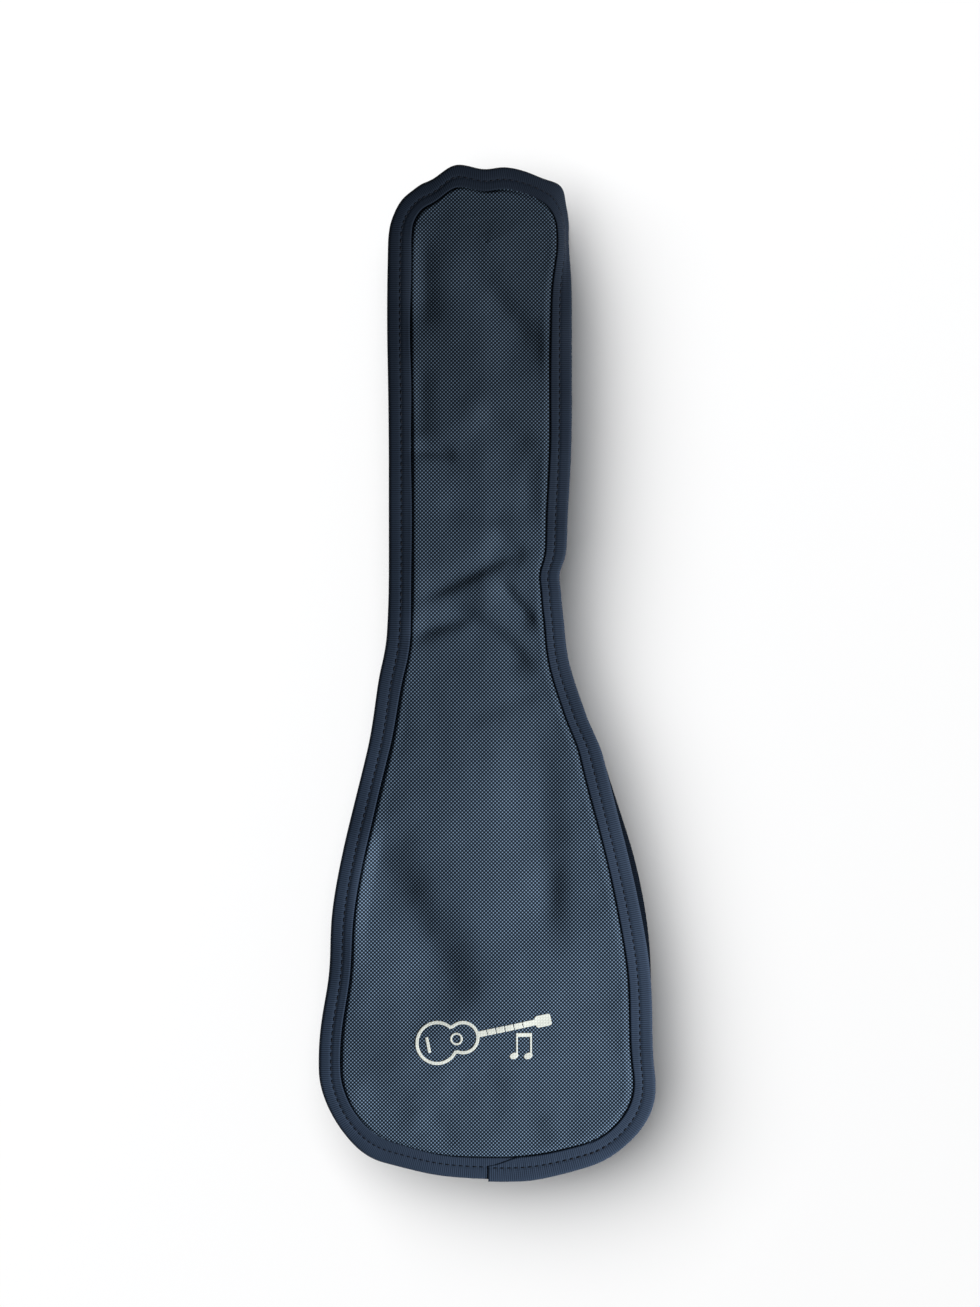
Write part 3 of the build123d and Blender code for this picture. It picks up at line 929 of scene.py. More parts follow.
# ---------------------------------------------------------------- bindings
@dataclass
class Binding:
    """Ribbed tape folded over one seam of the bag, with its stitching."""

    shop: Workshop
    side: Side
    tape_width: float = 27.0
    stitch_inset: float = 7.2
    stitch_pitch: float = 4.1
    overlap_end: float = 74.0
    overlap_lift: float = 0.5

    def path(self, s: Array, reach: Array, lift: float = 0.0) -> Array:
        """Middle line of the folded tape at each distance: top leg, outer bend and bottom leg.

        Along the top leg the height is level, less a groove at the stitching, plus a soft roll
        outside it; between stitches it rises a little.

        Args:
            s: Distances along the outline, mm.
            reach: Width of the binding at each distance, mm.
            lift: Height of an overlap above the seam, mm.

        Returns:
            Array (distances, points, 2) of insets and heights.
        """
        size = self.shop.sizes
        bend = (size.flange - size.binding_tape) / 2 + lift
        start = size.binding_tape / 2 + bend - lift
        inset = start + (reach[:, None] - start) * np.linspace(1.0, 0.0, 19)
        groove = 0.42 * bell(inset, self.stitch_inset, 0.9) - 0.15 * bell(inset, 3.4, 2.4)
        pucker = 0.09 * np.cos(TURN * s / self.stitch_pitch)[:, None]
        top = bend - groove + pucker * bell(inset, self.stitch_inset, 2.6)
        turn = np.linspace(math.pi / 2, -math.pi / 2, 9)[1:-1]
        bend_inset = np.broadcast_to(start - bend * np.cos(turn) * 0.95, (len(s), len(turn)))
        bend_height = np.broadcast_to(bend * np.sin(turn), (len(s), len(turn)))
        insets = np.concatenate([inset, bend_inset, inset[:, ::-1]], axis=1)
        heights = np.concatenate([top, bend_height, np.full_like(top, -bend)], axis=1)
        middle = size.height - size.flange / 2
        if self.side is Side.BACK:
            middle = size.flange / 2
            heights = np.maximum(-heights, -size.flange / 2 + size.binding_tape / 2)
        return np.stack([insets, middle + heights], axis=-1)

    def build(self) -> None:
        """Make and place the tape, whose width wanders a little, and its stitches."""
        shop, size, side = self.shop, self.shop.sizes, self.side
        front = side is Side.FRONT
        s = shop.ring(1.4)
        reach = size.binding_width + 0.45 * shop.drape.around(s, 41 if front else 42, 200, 60.0)
        profile = thicken(self.path(s, reach), size.binding_tape)
        tape = make_piece(f"{side.value}_binding_tape", shop.sweep(s, profile, closed=True))
        shop.place(tape, "binding", side.body, side.nodes("binding"), "binding_tape")

        count = int(shop.outline.total / self.stitch_pitch)
        places = (np.arange(count) + 0.5) * shop.outline.total / count
        level = size.height - size.binding_tape / 2 + 0.12 if front else size.binding_tape / 2 - 0.05
        row = shop.stitches(places, self.stitch_inset, lambda at: np.full(at.shape, level))
        shop.place_thread(f"{side.value}_seam_thread", row, side.body, side.nodes("stitching"))
        if front:
            self.build_overlap(level)

    def build_overlap(self, level: float) -> None:
        """Second layer of tape near the middle of the tail, with its end folded at a slant."""
        shop, size, end, lift = self.shop, self.shop.sizes, self.overlap_end, self.overlap_lift
        s = np.linspace(1.8, end, 90)
        settle = smooth(end, 20.0, s)
        slant = 8.0 + (size.binding_width + 0.4 - 8.0) * smooth(1.0, 22.0, s)
        plain = self.path(s, slant)
        path = plain + (self.path(s, slant, lift) - plain) * settle[:, None, None]
        path[..., 0] -= 1.0 * settle[:, None] * smooth(9.0, 0.0, path[..., 0])
        sunk = 0.5 * smooth(58.0, end, s)[:, None]
        path[..., 0] += sunk
        path[..., 1] -= sunk * (path[..., 1] > size.height - size.flange / 2)
        tape = make_piece("front_binding_overlap", shop.sweep(s, thicken(path, size.binding_tape)))
        shop.place(tape, "binding", "flap", (), "binding_tape")
        row = shop.stitches(np.arange(6.0, end - 2.0, self.stitch_pitch), self.stitch_inset - 0.4,
                            lambda at: level + lift * smooth(end, 20.0, at))
        shop.place_thread("front_overlap_thread", row, "flap")


# ---------------------------------------------------------------- side walls and zip
@dataclass
class SideWalls:
    """Wall cloth round the bag: the full-height spine, and the two strips beside the zip."""

    shop: Workshop
    cloth: float = 0.7
    lining: float = 0.35
    hem_from_zip: float = 7.6
    stitch_from_hem: float = 2.2

    def wall(self, s: Array, low: float, high: float, bulge: float, seed: int,
             seams: tuple[bool, bool]) -> Array:
        """Middle line of a wall at each distance, turned out into a seam or hemmed at each end.

        The wall's inset is less by the bulge times the sine of its share of the height, uneven
        along the bag; beside the handle it stays flat.

        Args:
            s: Distances along the outline, mm.
            low: Height of the lower end, mm.
            high: Height of the upper end, mm.
            bulge: Outward bulge, mm.
            seed: Seed of its unevenness.
            seams: Whether the lower and the upper end turn out into a seam.

        Returns:
            Array (distances, points, 2) of insets and heights.
        """
        inset = self.shop.sizes.wall_inset
        flange = [(2.4, 0.0), (inset - 1.2, 0.0), (inset - 0.3, 0.35), (inset, 1.2)]
        hem = [(inset + 0.6, 7.0), (inset + 0.6, 0.5), (inset + 0.3, 0.0), (inset, 0.5)]
        start = [(i, low + h) for i, h in (flange if seams[0] else hem)]
        end = [(i, high - h) for i, h in (flange if seams[1] else hem)[::-1]]
        line = resample(np.array(start + end), 0.9)
        share = np.clip((line[:, 1] - low) / (high - low), 0.0, 1.0)
        open_side = (line[:, 0] > inset - 0.6) * (line[:, 0] < inset + 0.2)
        x, y = self.shop.outline.at(s, inset)
        calm = 1 - (x < 0) * smooth(8, 30, y) * smooth(216, 196, y)
        uneven = 0.55 + 0.45 * ripples(s[:, None] + 0 * share, 1.6 * line[:, 1][None, :], seed, 40.0)
        path = np.broadcast_to(line, (len(s), *line.shape)).copy()
        path[..., 0] -= bulge * uneven * (np.sin(math.pi * share) * open_side) * calm[:, None]
        return path

    def strip(self, name: str, s: Array, path: Array, finish: str, body: str,
              nodes: tuple[str, ...]) -> None:
        """Make and place one strip of cloth or lining that follows the outline."""
        lined = finish == "lining"
        piece = make_piece(name, self.shop.sweep(s, thicken(path, self.lining if lined else self.cloth)))
        self.shop.place(piece, finish, body, nodes, "lining" if lined else "panel_cloth")

    def build(self) -> None:
        """Make and place the walls, their linings and the rows of stitching beside the zip."""
        shop, size = self.shop, self.shop.sizes
        start, end = shop.outline.zip_ends(size)
        zip_s = spaced(start, end, 2.4)
        spine_s = spaced(end, shop.outline.total + start, 2.4)
        low, high = 1.9, size.height - 2.0
        hem_low, hem_high = size.zip_z - self.hem_from_zip, size.zip_z + self.hem_from_zip
        for name, s, line, body, nodes in (
                ("spine_wall", spine_s, (low, high, 2.6, 51, (True, True)), "bag",
                 ("spine_gusset_outer",)),
                ("lower_zip_wall", zip_s, (low, hem_low, 1.2, 52, (True, False)), "bag",
                 ("lower_gusset_outer",)),
                ("upper_zip_wall", zip_s, (hem_high, high, 0.5, 53, (False, True)), "fold",
                 ("upper_gusset_fixed", "upper_gusset_flap"))):
            self.strip(name, s, self.wall(s, *line), "wall", body, nodes)
        for name, s, top, node in (
                ("spine_wall_lining", spine_s, size.height - 4.6, "spine_gusset_lining"),
                ("lower_wall_lining", zip_s, size.zip_z - 14.4, "lower_gusset_lining")):
            line = resample(np.array([(size.wall_inset + 1.2, 4.6), (size.wall_inset + 1.2, top)]), 2.0)
            self.strip(name, s, np.broadcast_to(line, (len(s), *line.shape)), "lining", "bag", (node,))
        row = spaced(start + 6, end - 6, 4.1)
        for name, z, body in (("lower_zip_thread", hem_low - self.stitch_from_hem, "bag"),
                              ("upper_zip_thread", hem_high + self.stitch_from_hem, "fold")):
            shop.place_thread(name, shop.level_stitches(row, size.wall_inset - 0.32, z), body)


@dataclass
class Zip:
    """Two tapes with their coils, the stops and the cloth tabs at both ends."""

    shop: Workshop
    tape_inset: float = 13.85
    tape: float = 0.5
    tape_reach: float = 14.0
    coil_inset: float = 12.35
    coil_half: tuple[float, float] = (0.95, 1.75)
    coil_pitch: float = 1.35
    coil_from_end: float = 7.0
    wire: float = 0.27
    stringer: float = 1.35

    def coil(self, s0: float, s1: float, z: float, phase: float) -> Patch:
        """Nylon coil: a flattened helix of wire that advances one pitch a turn.

        The wire's middle is at inset = i0 + a cos(t), height = z + b sin(t), s = s0 + pitch t / 2 pi,
        and its round section is carried along that line.

        Args:
            s0: Where the coil starts along the outline, mm.
            s1: Where it ends, mm.
            z: Height of its middle, mm.
            phase: Turn of its first point, radians.

        Returns:
            The patch.
        """
        turns = int((s1 - s0) / self.coil_pitch)
        t = np.linspace(0.0, turns * TURN, turns * 8 + 1)
        a, b = self.coil_half
        s = s0 + self.coil_pitch * t / TURN
        middle = np.stack([s, self.coil_inset + a * np.cos(t + phase), z + b * np.sin(t + phase)], axis=1)
        tangent = unit(np.gradient(middle, axis=0))
        first = unit(np.array([1.0, 0.0, 0.0]) - tangent * tangent[:, :1])
        second = np.cross(tangent, first)
        round_it = np.linspace(0.0, TURN, 5)[:-1][None, :, None] + math.pi / 4
        wire = (middle[:, None] + self.wire * (first[:, None] * np.cos(round_it)
                                               + second[:, None] * np.sin(round_it)))
        x, y = self.shop.outline.at(wire[..., 0], wire[..., 1])
        return Patch.from_grid(self.shop.drape(x, y, wire[..., 2]), Grid(len(t), 4, columns_close=True),
                               s, np.arange(5) * self.wire, capped=True)

    def strip(self, s: Array, low: float, high: float) -> Patch:
        """Tape between two heights."""
        line = resample(np.array([(self.tape_inset, low), (self.tape_inset, high)]), 1.4)
        return self.shop.sweep(s, thicken(line, self.tape, 0.8), wave=False)

    def stop(self, name: str, s: float, places: tuple[tuple, ...], node: str) -> None:
        """Place rounded blocks that stand on the zip at distance s.

        Args:
            name: Name of the piece.
            s: Distance along the outline, mm.
            places: Height of each block and its half sizes along, out of and up the wall, mm.
            node: Node that the piece stands for.
        """
        x, y = self.shop.outline.at(np.array(s), self.coil_inset)
        out_x, out_y = self.shop.outline.outward(np.array(s))
        patches = []
        for z, half in places:
            patch = rounded_block((0, 0, 0), half, 0.35)
            run, across, up = patch.points.T
            patch.points = np.stack([x - run * out_y + across * out_x,
                                     y + run * out_x + across * out_y, up + z], axis=1)
            patches.append(patch)
        self.shop.place(make_piece(name, Patch.joined(patches), merge=0.01), "metal", "bag", (node,),
                        "zip_metal")

    def build(self) -> None:
        """Make and place the tapes, coils, stops and end tabs."""
        shop, z = self.shop, self.shop.sizes.zip_z
        start, end = shop.outline.zip_ends(shop.sizes)
        s = spaced(start, end, 2.4)
        first, last = start + self.coil_from_end, end - self.coil_from_end
        for name, low, high, body, nodes in (
                ("upper_zip_tape", 0.7, self.tape_reach, "fold", ("zip_tape_fixed", "zip_tape_flap")),
                ("lower_zip_tape", -self.tape_reach, -0.7, "bag", ("zip_tape_lower",))):
            shop.place(make_piece(name, self.strip(s, z + low, z + high)), "zip_tape", body, nodes,
                       "zip_tape")
        for name, side, phase, body, nodes in (
                ("upper_zip_coil", 1, 0.0, "fold", ("zip_coil_fixed", "zip_coil_flap")),
                ("lower_zip_coil", -1, math.pi, "bag", ("zip_coil_lower",))):
            patch = self.coil(first, last, z + side * self.stringer, phase)
            shop.place(make_piece(name, patch), "coil", body, nodes, "zip_coil")
        self.stop("zip_stops_head", last + 1.6, tuple((z + side * 1.9, (1.3, 1.4, 1.5))
                                                      for side in (-1, 1)), "zip_top_stops")
        self.stop("zip_stop_tail", first - 1.6, ((z, (1.4, 1.4, 3.2)),), "zip_bottom_stop")
        self.build_tabs(start, end)

    def build_tabs(self, start: float, end: float) -> None:
        """Folded cloth tab over each end of the zip, with stitches along two of its edges."""
        shop, z = self.shop, self.shop.sizes.zip_z
        tabs, rows = [], []
        inset, reach = shop.sizes.wall_inset - 0.85, self.tape_reach - 0.4
        for low, high in ((start - 11.6, start + 0.4), (end - 0.4, end + 11.6)):
            s = spaced(low, high, 1.0)
            line = resample(np.array([(inset, z - reach), (inset, z + reach)]), 1.0)
            path = np.broadcast_to(line, (len(s), *line.shape)).copy()
            path[..., 0] += 0.35 * smooth(1.6, 0.0, np.minimum(s - low, high - s)[:, None])
            tabs.append(shop.sweep(s, thicken(path, 0.7), wave=False))
            places = spaced(low + 2.4, high - 2.4, 2.4)
            rows += [shop.level_stitches(places, inset - 0.35, level, 1.9, 0.26)
                     for level in (z - reach + 1.8, z + reach - 1.8)]
        piece = make_piece("zip_end_cloth_tabs", Patch.joined(tabs))
        shop.place(piece, "wall", "bag", ("zip_end_tabs",), "panel_cloth")
        shop.place_thread("zip_tab_thread", Patch.joined(rows), "bag")


@dataclass
class Slider:
    """Metal slider on the zip, with its plates, cheeks, post and bridge, and the pull that hangs on it."""

    shop: Workshop
    plate: float = 1.1
    bridge: float = 3.9
    bridge_wire: float = 0.85
    pull_half: tuple[float, float] = (0.8, 3.7)
    hole_radius: float = 1.7

    def body(self, low: Array, high: Array) -> Patch:
        """Rounded plates, cheeks and post inside a box, and an arch over the outer plate.

        The arch is a round wire along x = x0 + h (1 - |u|^4)^(1/2), y = y0 + u a, for u in -1 ... 1.

        Args:
            low: Lowest corner of the slider, mm.
            high: Highest corner, mm.

        Returns:
            The patch.
        """
        (mx, my, mz), (hx, hy, hz) = (low + high) / 2, (high - low) / 2
        bridge, t = self.bridge, self.plate / 2
        face = high[0] - bridge
        cheek = (face - low[0]) * 0.3
        parts = [
            rounded_block((face - t, my, mz), (t, hy, hz), 0.3),
            rounded_block((low[0] + t, my, mz), (t, hy, hz * 0.66), 0.3),
            rounded_block((mx - bridge / 2, high[1] - 1.6, mz), (hx - bridge / 2 - 0.2, 1.5, 0.4), 0.4),
            *(rounded_block((face - cheek, my, mz + side * (hz - t)), (cheek, hy, t), 0.35)
              for side in (-1, 1)),
        ]
        u = np.linspace(-1.0, 1.0, 41)
        span, rise = 5.0, bridge - 2 * self.bridge_wire
        line = np.stack([face + rise * np.sqrt(np.maximum(1 - u ** 4, 0)) + self.bridge_wire * 0.4,
                         my + span * u, np.full(len(u), mz)], axis=1)
        parts.append(self.wire(line, (self.bridge_wire, 1.3), capped=True))
        return Patch.joined(parts)

    @staticmethod
    def wire(line: Array, radii: tuple[float, float], capped: bool) -> Patch:
        """Oval wire along a line that lies in a plane of constant height, or closes in one of constant X.

        Args:
            line: Array (points, 3), mm.
            radii: Radius in the line's plane and across it, mm.
            capped: Whether the line is open.

        Returns:
            The patch.
        """
        if capped:
            tangent, across = np.gradient(line, axis=0), np.array([0.0, 0.0, 1.0])
        else:
            tangent = np.roll(line, -1, axis=0) - np.roll(line, 1, axis=0)
            across = np.array([1.0, 0.0, 0.0])
        side = np.cross(unit(tangent), across)
        turn = np.linspace(0.0, TURN, 13)[:-1][None, :, None]
        points = line[:, None] + radii[0] * np.cos(turn) * side[:, None] + radii[1] * np.sin(turn) * across
        grid = Grid(len(line), 12, rows_close=not capped, columns_close=True)
        return Patch.from_grid(points, grid, capped=capped)

    def pull(self, low: Array, high: Array, pivot_y: float) -> Patch:
        """Loop round the bridge and a flat grip with a hole near its end.

        The loop is a wire along a rounded rectangle. The grip is a ring of section rounded at its
        edges between a rounded rectangle and the hole's circle, at equal angles round the hole.

        Args:
            low: Lowest corner of the pull, mm.
            high: Highest corner, mm.
            pivot_y: Where the loop's bar lies along the bag, mm.

        Returns:
            The patch.
        """
        x, z = (low[0] + high[0]) / 2, (low[2] + high[2]) / 2
        t = np.linspace(0.0, TURN, 49)[:-1]

        def squarish(cy: float, half_y: float, half_z: float, power: float) -> Array:
            """Closed superellipse in the plane of constant X, as pairs (y, z)."""
            return np.stack([cy + half_y * signed_power(np.cos(t), power),
                             z + half_z * signed_power(np.sin(t), power)], axis=1)

        def at_height(height: float, pairs: Array) -> Array:
            """Pairs (y, z) as points at a height out of the zip."""
            return np.column_stack([np.full(len(t), x + height), pairs])

        ring = self.wire(at_height(0.0, squarish(pivot_y - 3.6, 3.7, 2.75, 0.55)), (0.75, 0.75),
                         capped=False)
        grip_low, grip_high = low[1], pivot_y - 6.4
        grip_y = (grip_low + grip_high) / 2
        outer = squarish(grip_y, (grip_high - grip_low) / 2, self.pull_half[1], 0.42)
        waist = 1 - 0.16 * bell(outer[:, 0], grip_y + 1.5, 5.5)
        outer[:, 1] = z + (outer[:, 1] - z) * waist
        hole_y = grip_low + 4.8
        angle = np.arctan2(outer[:, 1] - z, outer[:, 0] - hole_y)
        inner = np.stack([hole_y + self.hole_radius * np.cos(angle),
                          z + self.hole_radius * np.sin(angle)], axis=1)
        gap = np.linalg.norm(outer - inner, axis=1, keepdims=True)
        thick, edge = self.pull_half[0], 0.3
        flat = thick - edge
        section = [(0 * gap, -flat), (0 * gap, flat), (edge / gap, thick), (1 - edge / gap, thick),
                   (1 + 0 * gap, flat), (1 + 0 * gap, -flat), (1 - edge / gap, -thick),
                   (edge / gap, -thick)]
        rows = [at_height(height, inner + (outer - inner) * share) for share, height in section]
        grip = Patch.from_grid(np.stack(rows, axis=1),
                               Grid(len(t), len(section), rows_close=True, columns_close=True))
        ribs = [rounded_block((x + side * (thick + 0.02), grip_high - 3.2 - 1.5 * i, z),
                              (0.28, 0.38, 2.1), 0.6) for i in range(4) for side in (-1, 1)]
        return Patch.joined([ring, grip, *ribs])

    def build(self) -> None:
        """Make and place the slider and the pull inside their nodes' boxes."""
        pivot_y = joint("pull_swing")["pos_m"][1] / MM
        for name, node, body, patch in (
                ("zip_slider", "slider_body", "slider", self.body(*box_mm("slider_body"))),
                ("zip_pull", "pull_tab", "pull", self.pull(*box_mm("pull_tab"), pivot_y))):
            self.shop.place(make_piece(name, patch, merge=0.005), "metal", body, (node,), "zip_metal")


# ---------------------------------------------------------------- carry handle
@dataclass
class Handle:
    """Webbing sewn flat to the spine wall at both ends, with a crossed box of stitches on each foot."""

    shop: Workshop
    thickness: float = 1.7
    foot: float = 26.0
    ramp: float = 22.0
    sag: float = 2.6
    thread: float = 0.33

    def build(self) -> None:
        """Make and place the webbing and its stitches.

        The webbing's distance from the wall is a smooth step over each ramp, and its middle sags by
        the square of the cosine of the distance from the middle.
        """
        shop = self.shop
        low, high = box_mm("handle_strap")
        middle, half = (low[1] + high[1]) / 2, (high[1] - low[1]) / 2
        near, far = high[0] - self.thickness / 2, low[0] + self.thickness / 2 + 0.1
        held = half - self.foot
        y = np.linspace(low[1], high[1], 150)
        from_middle = np.abs(y - middle)
        x = near + (far - near) * smooth(held + 1.5, held - self.ramp, from_middle)
        sag = -self.sag * np.cos(np.clip(from_middle / held, 0, 1) * math.pi / 2) ** 2
        slope = np.gradient(x, y)
        wide, flat = (high[2] - low[2]) / 2, self.thickness / 2
        across = np.linspace(-1.0, 1.0, 15)
        edge = flat * (1 - 0.5 * across ** 8)
        loop_z = np.concatenate([across, across[::-1]]) * wide
        loop_x = np.concatenate([edge, -edge])
        normal = 1 / np.sqrt(1 + slope ** 2)
        cup = 0.5 * np.concatenate([across ** 2, across[::-1] ** 2])
        free = smooth(held, held - 14, from_middle)
        z0 = (low[2] + high[2]) / 2
        points = np.stack([
            x[:, None] + (loop_x + cup * free[:, None]) * normal[:, None],
            y[:, None] - loop_x * (slope * normal)[:, None],
            z0 + sag[:, None] + loop_z,
        ], axis=-1)
        run = path_length(np.stack([x, y], axis=1))
        round_it = path_length(np.stack([loop_x, loop_z], axis=1)[list(range(len(loop_x))) + [0]])
        grid = Grid(len(y), len(loop_z), columns_close=True)
        strap = make_piece("handle_webbing", Patch.from_grid(points, grid, run, round_it, capped=True))
        shop.place(strap, "webbing", "bag", ("handle_strap",), "webbing")

        box = np.array([(-1, -1), (1, -1), (1, 1), (-1, 1), (-1, -1), (1, 1), (1, -1), (-1, 1)], float)
        route = resample(box * np.array([self.foot / 2 - 3.4, wide - 2.6]), 2.9)
        shop.place_thread("handle_thread", Patch.joined(
            [self.seam(route, middle + end * (half - self.foot / 2), z0, near - flat)
             for end in (-1, 1)]), "bag")

    def seam(self, route: Array, y0: float, z0: float, x0: float) -> Patch:
        """Stitches along a flat route, each a capsule from its start most of a step on.

        Args:
            route: Ends of the steps, (points, 2), mm from the middle.
            y0: Middle along the bag, mm.
            z0: Middle height, mm.
            x0: Face of the webbing, mm.

        Returns:
            The patch.
        """
        start, step = route[:-1], np.diff(route, axis=0)
        along = np.array([0.02, 0.12, 0.32, 0.6, 0.76, 0.86])
        share = np.array([0.0, 0.75, 1.0, 1.0, 0.75, 0.0])[:, None]
        turn = np.linspace(0, TURN, 7)[:-1]
        side = unit(np.stack([-step[:, 1], step[:, 0]], axis=1))
        line = start[:, None] + step[:, None] * along[None, :, None]
        ring = self.thread * share * np.cos(turn)
        flat = line[:, :, None] + side[:, None, None] * ring[None, :, :, None]
        dive = 0.3 * (2 * np.abs(along - 0.44) / 0.84)[:, None] ** 3
        out = np.broadcast_to(x0 - 0.1 - self.thread * share * np.sin(turn) + dive, flat.shape[:-1])
        points = np.stack([out, y0 + flat[..., 0], z0 + flat[..., 1]], axis=-1)
        return Patch.capsules(points, along * 3, self.thread)


# ---------------------------------------------------------------- finishes
class Nodes:
    """Short way to add and join shader nodes in one tree."""

    def __init__(self, tree: bpy.types.NodeTree) -> None:
        """Keep the tree."""
        self.tree = tree

    def feed(self, node: Node, inputs: dict) -> None:
        """Set a node's inputs, by name or number, to values, or link them to sockets."""
        for key, value in inputs.items():
            if isinstance(value, Socket):
                self.tree.links.new(value, node.inputs[key])
            else:
                node.inputs[key].default_value = value

    def add(self, kind: str, inputs: Optional[dict] = None, **settings: object) -> Node:
        """New node of a kind, with its attributes set and its inputs fed."""
        node = self.tree.nodes.new(kind)
        for key, value in settings.items():
            setattr(node, key, value)
        self.feed(node, inputs or {})
        return node

    def math(self, operation: str, *values: object, clamp: bool = False) -> Socket:
        """Output of a Math node on numbers or sockets."""
        node = self.add("ShaderNodeMath", dict(enumerate(values)), operation=operation, use_clamp=clamp)
        return node.outputs[0]

    def wave(self, value: Socket, pitch: Socket) -> Socket:
        """Sine of pi times the value over the pitch."""
        return self.math("SINE", self.math("MULTIPLY", self.math("DIVIDE", value, pitch), math.pi))

    def ramp(self, value: Socket, low: float, high: float) -> Socket:
        """Value mapped from low ... high to 0 ... 1 by a smooth step."""
        node = self.add("ShaderNodeMapRange", {"Value": value, "From Min": low, "From Max": high},
                        interpolation_type="SMOOTHSTEP")
        return node.outputs["Result"]

    def noise(self, vector: Socket, scale: object, detail: float, roughness: float = 0.5) -> Socket:
        """Value of a noise texture."""
        return self.add("ShaderNodeTexNoise", {"Vector": vector, "Scale": scale, "Detail": detail,
                                               "Roughness": roughness}).outputs[0]

    def mix(self, factor: object, first: object, second: object, blend: str = "MIX") -> Socket:
        """Colour mixed from two colours or sockets."""
        first, second = (value if isinstance(value, Socket) else (*value, 1.0)
                         for value in (first, second))
        return self.add("ShaderNodeMix", {0: factor, 6: first, 7: second}, data_type="RGBA",
                        blend_type=blend).outputs[2]

    def parts(self, vector: Socket) -> Node:
        """Node whose outputs are the vector's coordinates."""
        return self.add("ShaderNodeSeparateXYZ", {0: vector})

    def bump(self, height: Socket, distance: float, strength: float) -> Socket:
        """Normal bumped by a height, with its distance in mm."""
        return self.add("ShaderNodeBump", {"Height": height, "Distance": distance * MM,
                                           "Strength": strength}).outputs[0]


def new_group(name: str, size: str, default: float, outputs: tuple[str, ...]) -> tuple[Nodes, Node, Node]:
    """Shader node group that takes a Vector and one size: its builder, input node and output node."""
    nodes = Nodes(bpy.data.node_groups.new(name, "ShaderNodeTree"))
    sockets = nodes.tree.interface
    sockets.new_socket("Vector", in_out="INPUT", socket_type="NodeSocketVector")
    sockets.new_socket(size, in_out="INPUT", socket_type="NodeSocketFloat").default_value = default
    for label in outputs:
        sockets.new_socket(label, in_out="OUTPUT", socket_type="NodeSocketFloat")
    return nodes, nodes.add("NodeGroupInput"), nodes.add("NodeGroupOutput")


def weave_group() -> bpy.types.NodeTree:
    """Plain weave: domes where one thread passes over another, in a chequered order.

    With u and v the coordinates over the pitch, the dome is (|sin pi u| |sin pi v|)^0.9 and the
    lengthwise thread is on top where sin pi u sin pi v is above zero.
    """
    nodes, given, result = new_group("Plain weave", "Pitch", 0.0013, ("Height", "Top thread", "Gap"))
    parts = nodes.parts(given.outputs["Vector"])
    product = nodes.math("MULTIPLY", *(nodes.wave(parts.outputs[i], given.outputs["Pitch"])
                                       for i in (0, 1)))
    dome = nodes.math("POWER", nodes.math("ABSOLUTE", product), 0.9)
    top = nodes.ramp(product, -0.12, 0.12)
    nodes.feed(result, {
        "Height": nodes.math("MULTIPLY", dome, nodes.math("MULTIPLY_ADD", top, 0.60, 0.40)),
        "Top thread": top,
        "Gap": nodes.math("SUBTRACT", 1.0, dome, clamp=True),
    })
    return nodes.tree


def rib_group() -> bpy.types.NodeTree:
    """Ribs across a tape: |sin(pi u / pitch)|^0.6 of the distance along it, with fine threads across."""
    nodes, given, result = new_group("Tape ribs", "Pitch", 0.0012, ("Height", "Groove"))
    parts = nodes.parts(given.outputs["Vector"])
    wave = nodes.wave(parts.outputs[0], given.outputs["Pitch"])
    rib = nodes.math("POWER", nodes.math("ABSOLUTE", wave), 0.6)
    fine = nodes.math("SINE", nodes.math("MULTIPLY", parts.outputs[1], 9000.0))
    nodes.feed(result, {"Height": nodes.math("MULTIPLY_ADD", fine, 0.06, rib),
                        "Groove": nodes.math("SUBTRACT", 1.0, rib, clamp=True)})
    return nodes.tree


def wear_group() -> bpy.types.NodeTree:
    """Uneven dye and rubbed lint: broad noise, and sparse light specks from a fine noise's peaks."""
    nodes, given, result = new_group("Uneven dye and lint", "Size", 0.06, ("Dye", "Lint", "Fibre"))
    vector = given.outputs["Vector"]
    broad_scale = nodes.math("DIVIDE", 1.0, given.outputs["Size"])
    nodes.feed(result, {"Dye": nodes.noise(vector, broad_scale, 3.0, 0.55),
                        "Lint": nodes.ramp(nodes.noise(vector, 900.0, 2.0, 0.6), 0.66, 0.82),
                        "Fibre": nodes.noise(vector, 2600.0, 1.0)})
    return nodes.tree


def new_material(name: str) -> tuple[bpy.types.Material, Nodes, Node]:
    """Material with its node builder and its Principled shader."""
    material = bpy.data.materials.new(name)
    material.use_nodes = True
    return material, Nodes(material.node_tree), material.node_tree.nodes["Principled BSDF"]


class Cover(Enum):
    """Where a finish takes its pattern's place from."""

    OBJECT = "Object"
    UV = "UV"


class Pattern(Enum):
    """Which woven structure a finish has."""

    WEAVE = "Plain weave"
    RIBS = "Tape ribs"


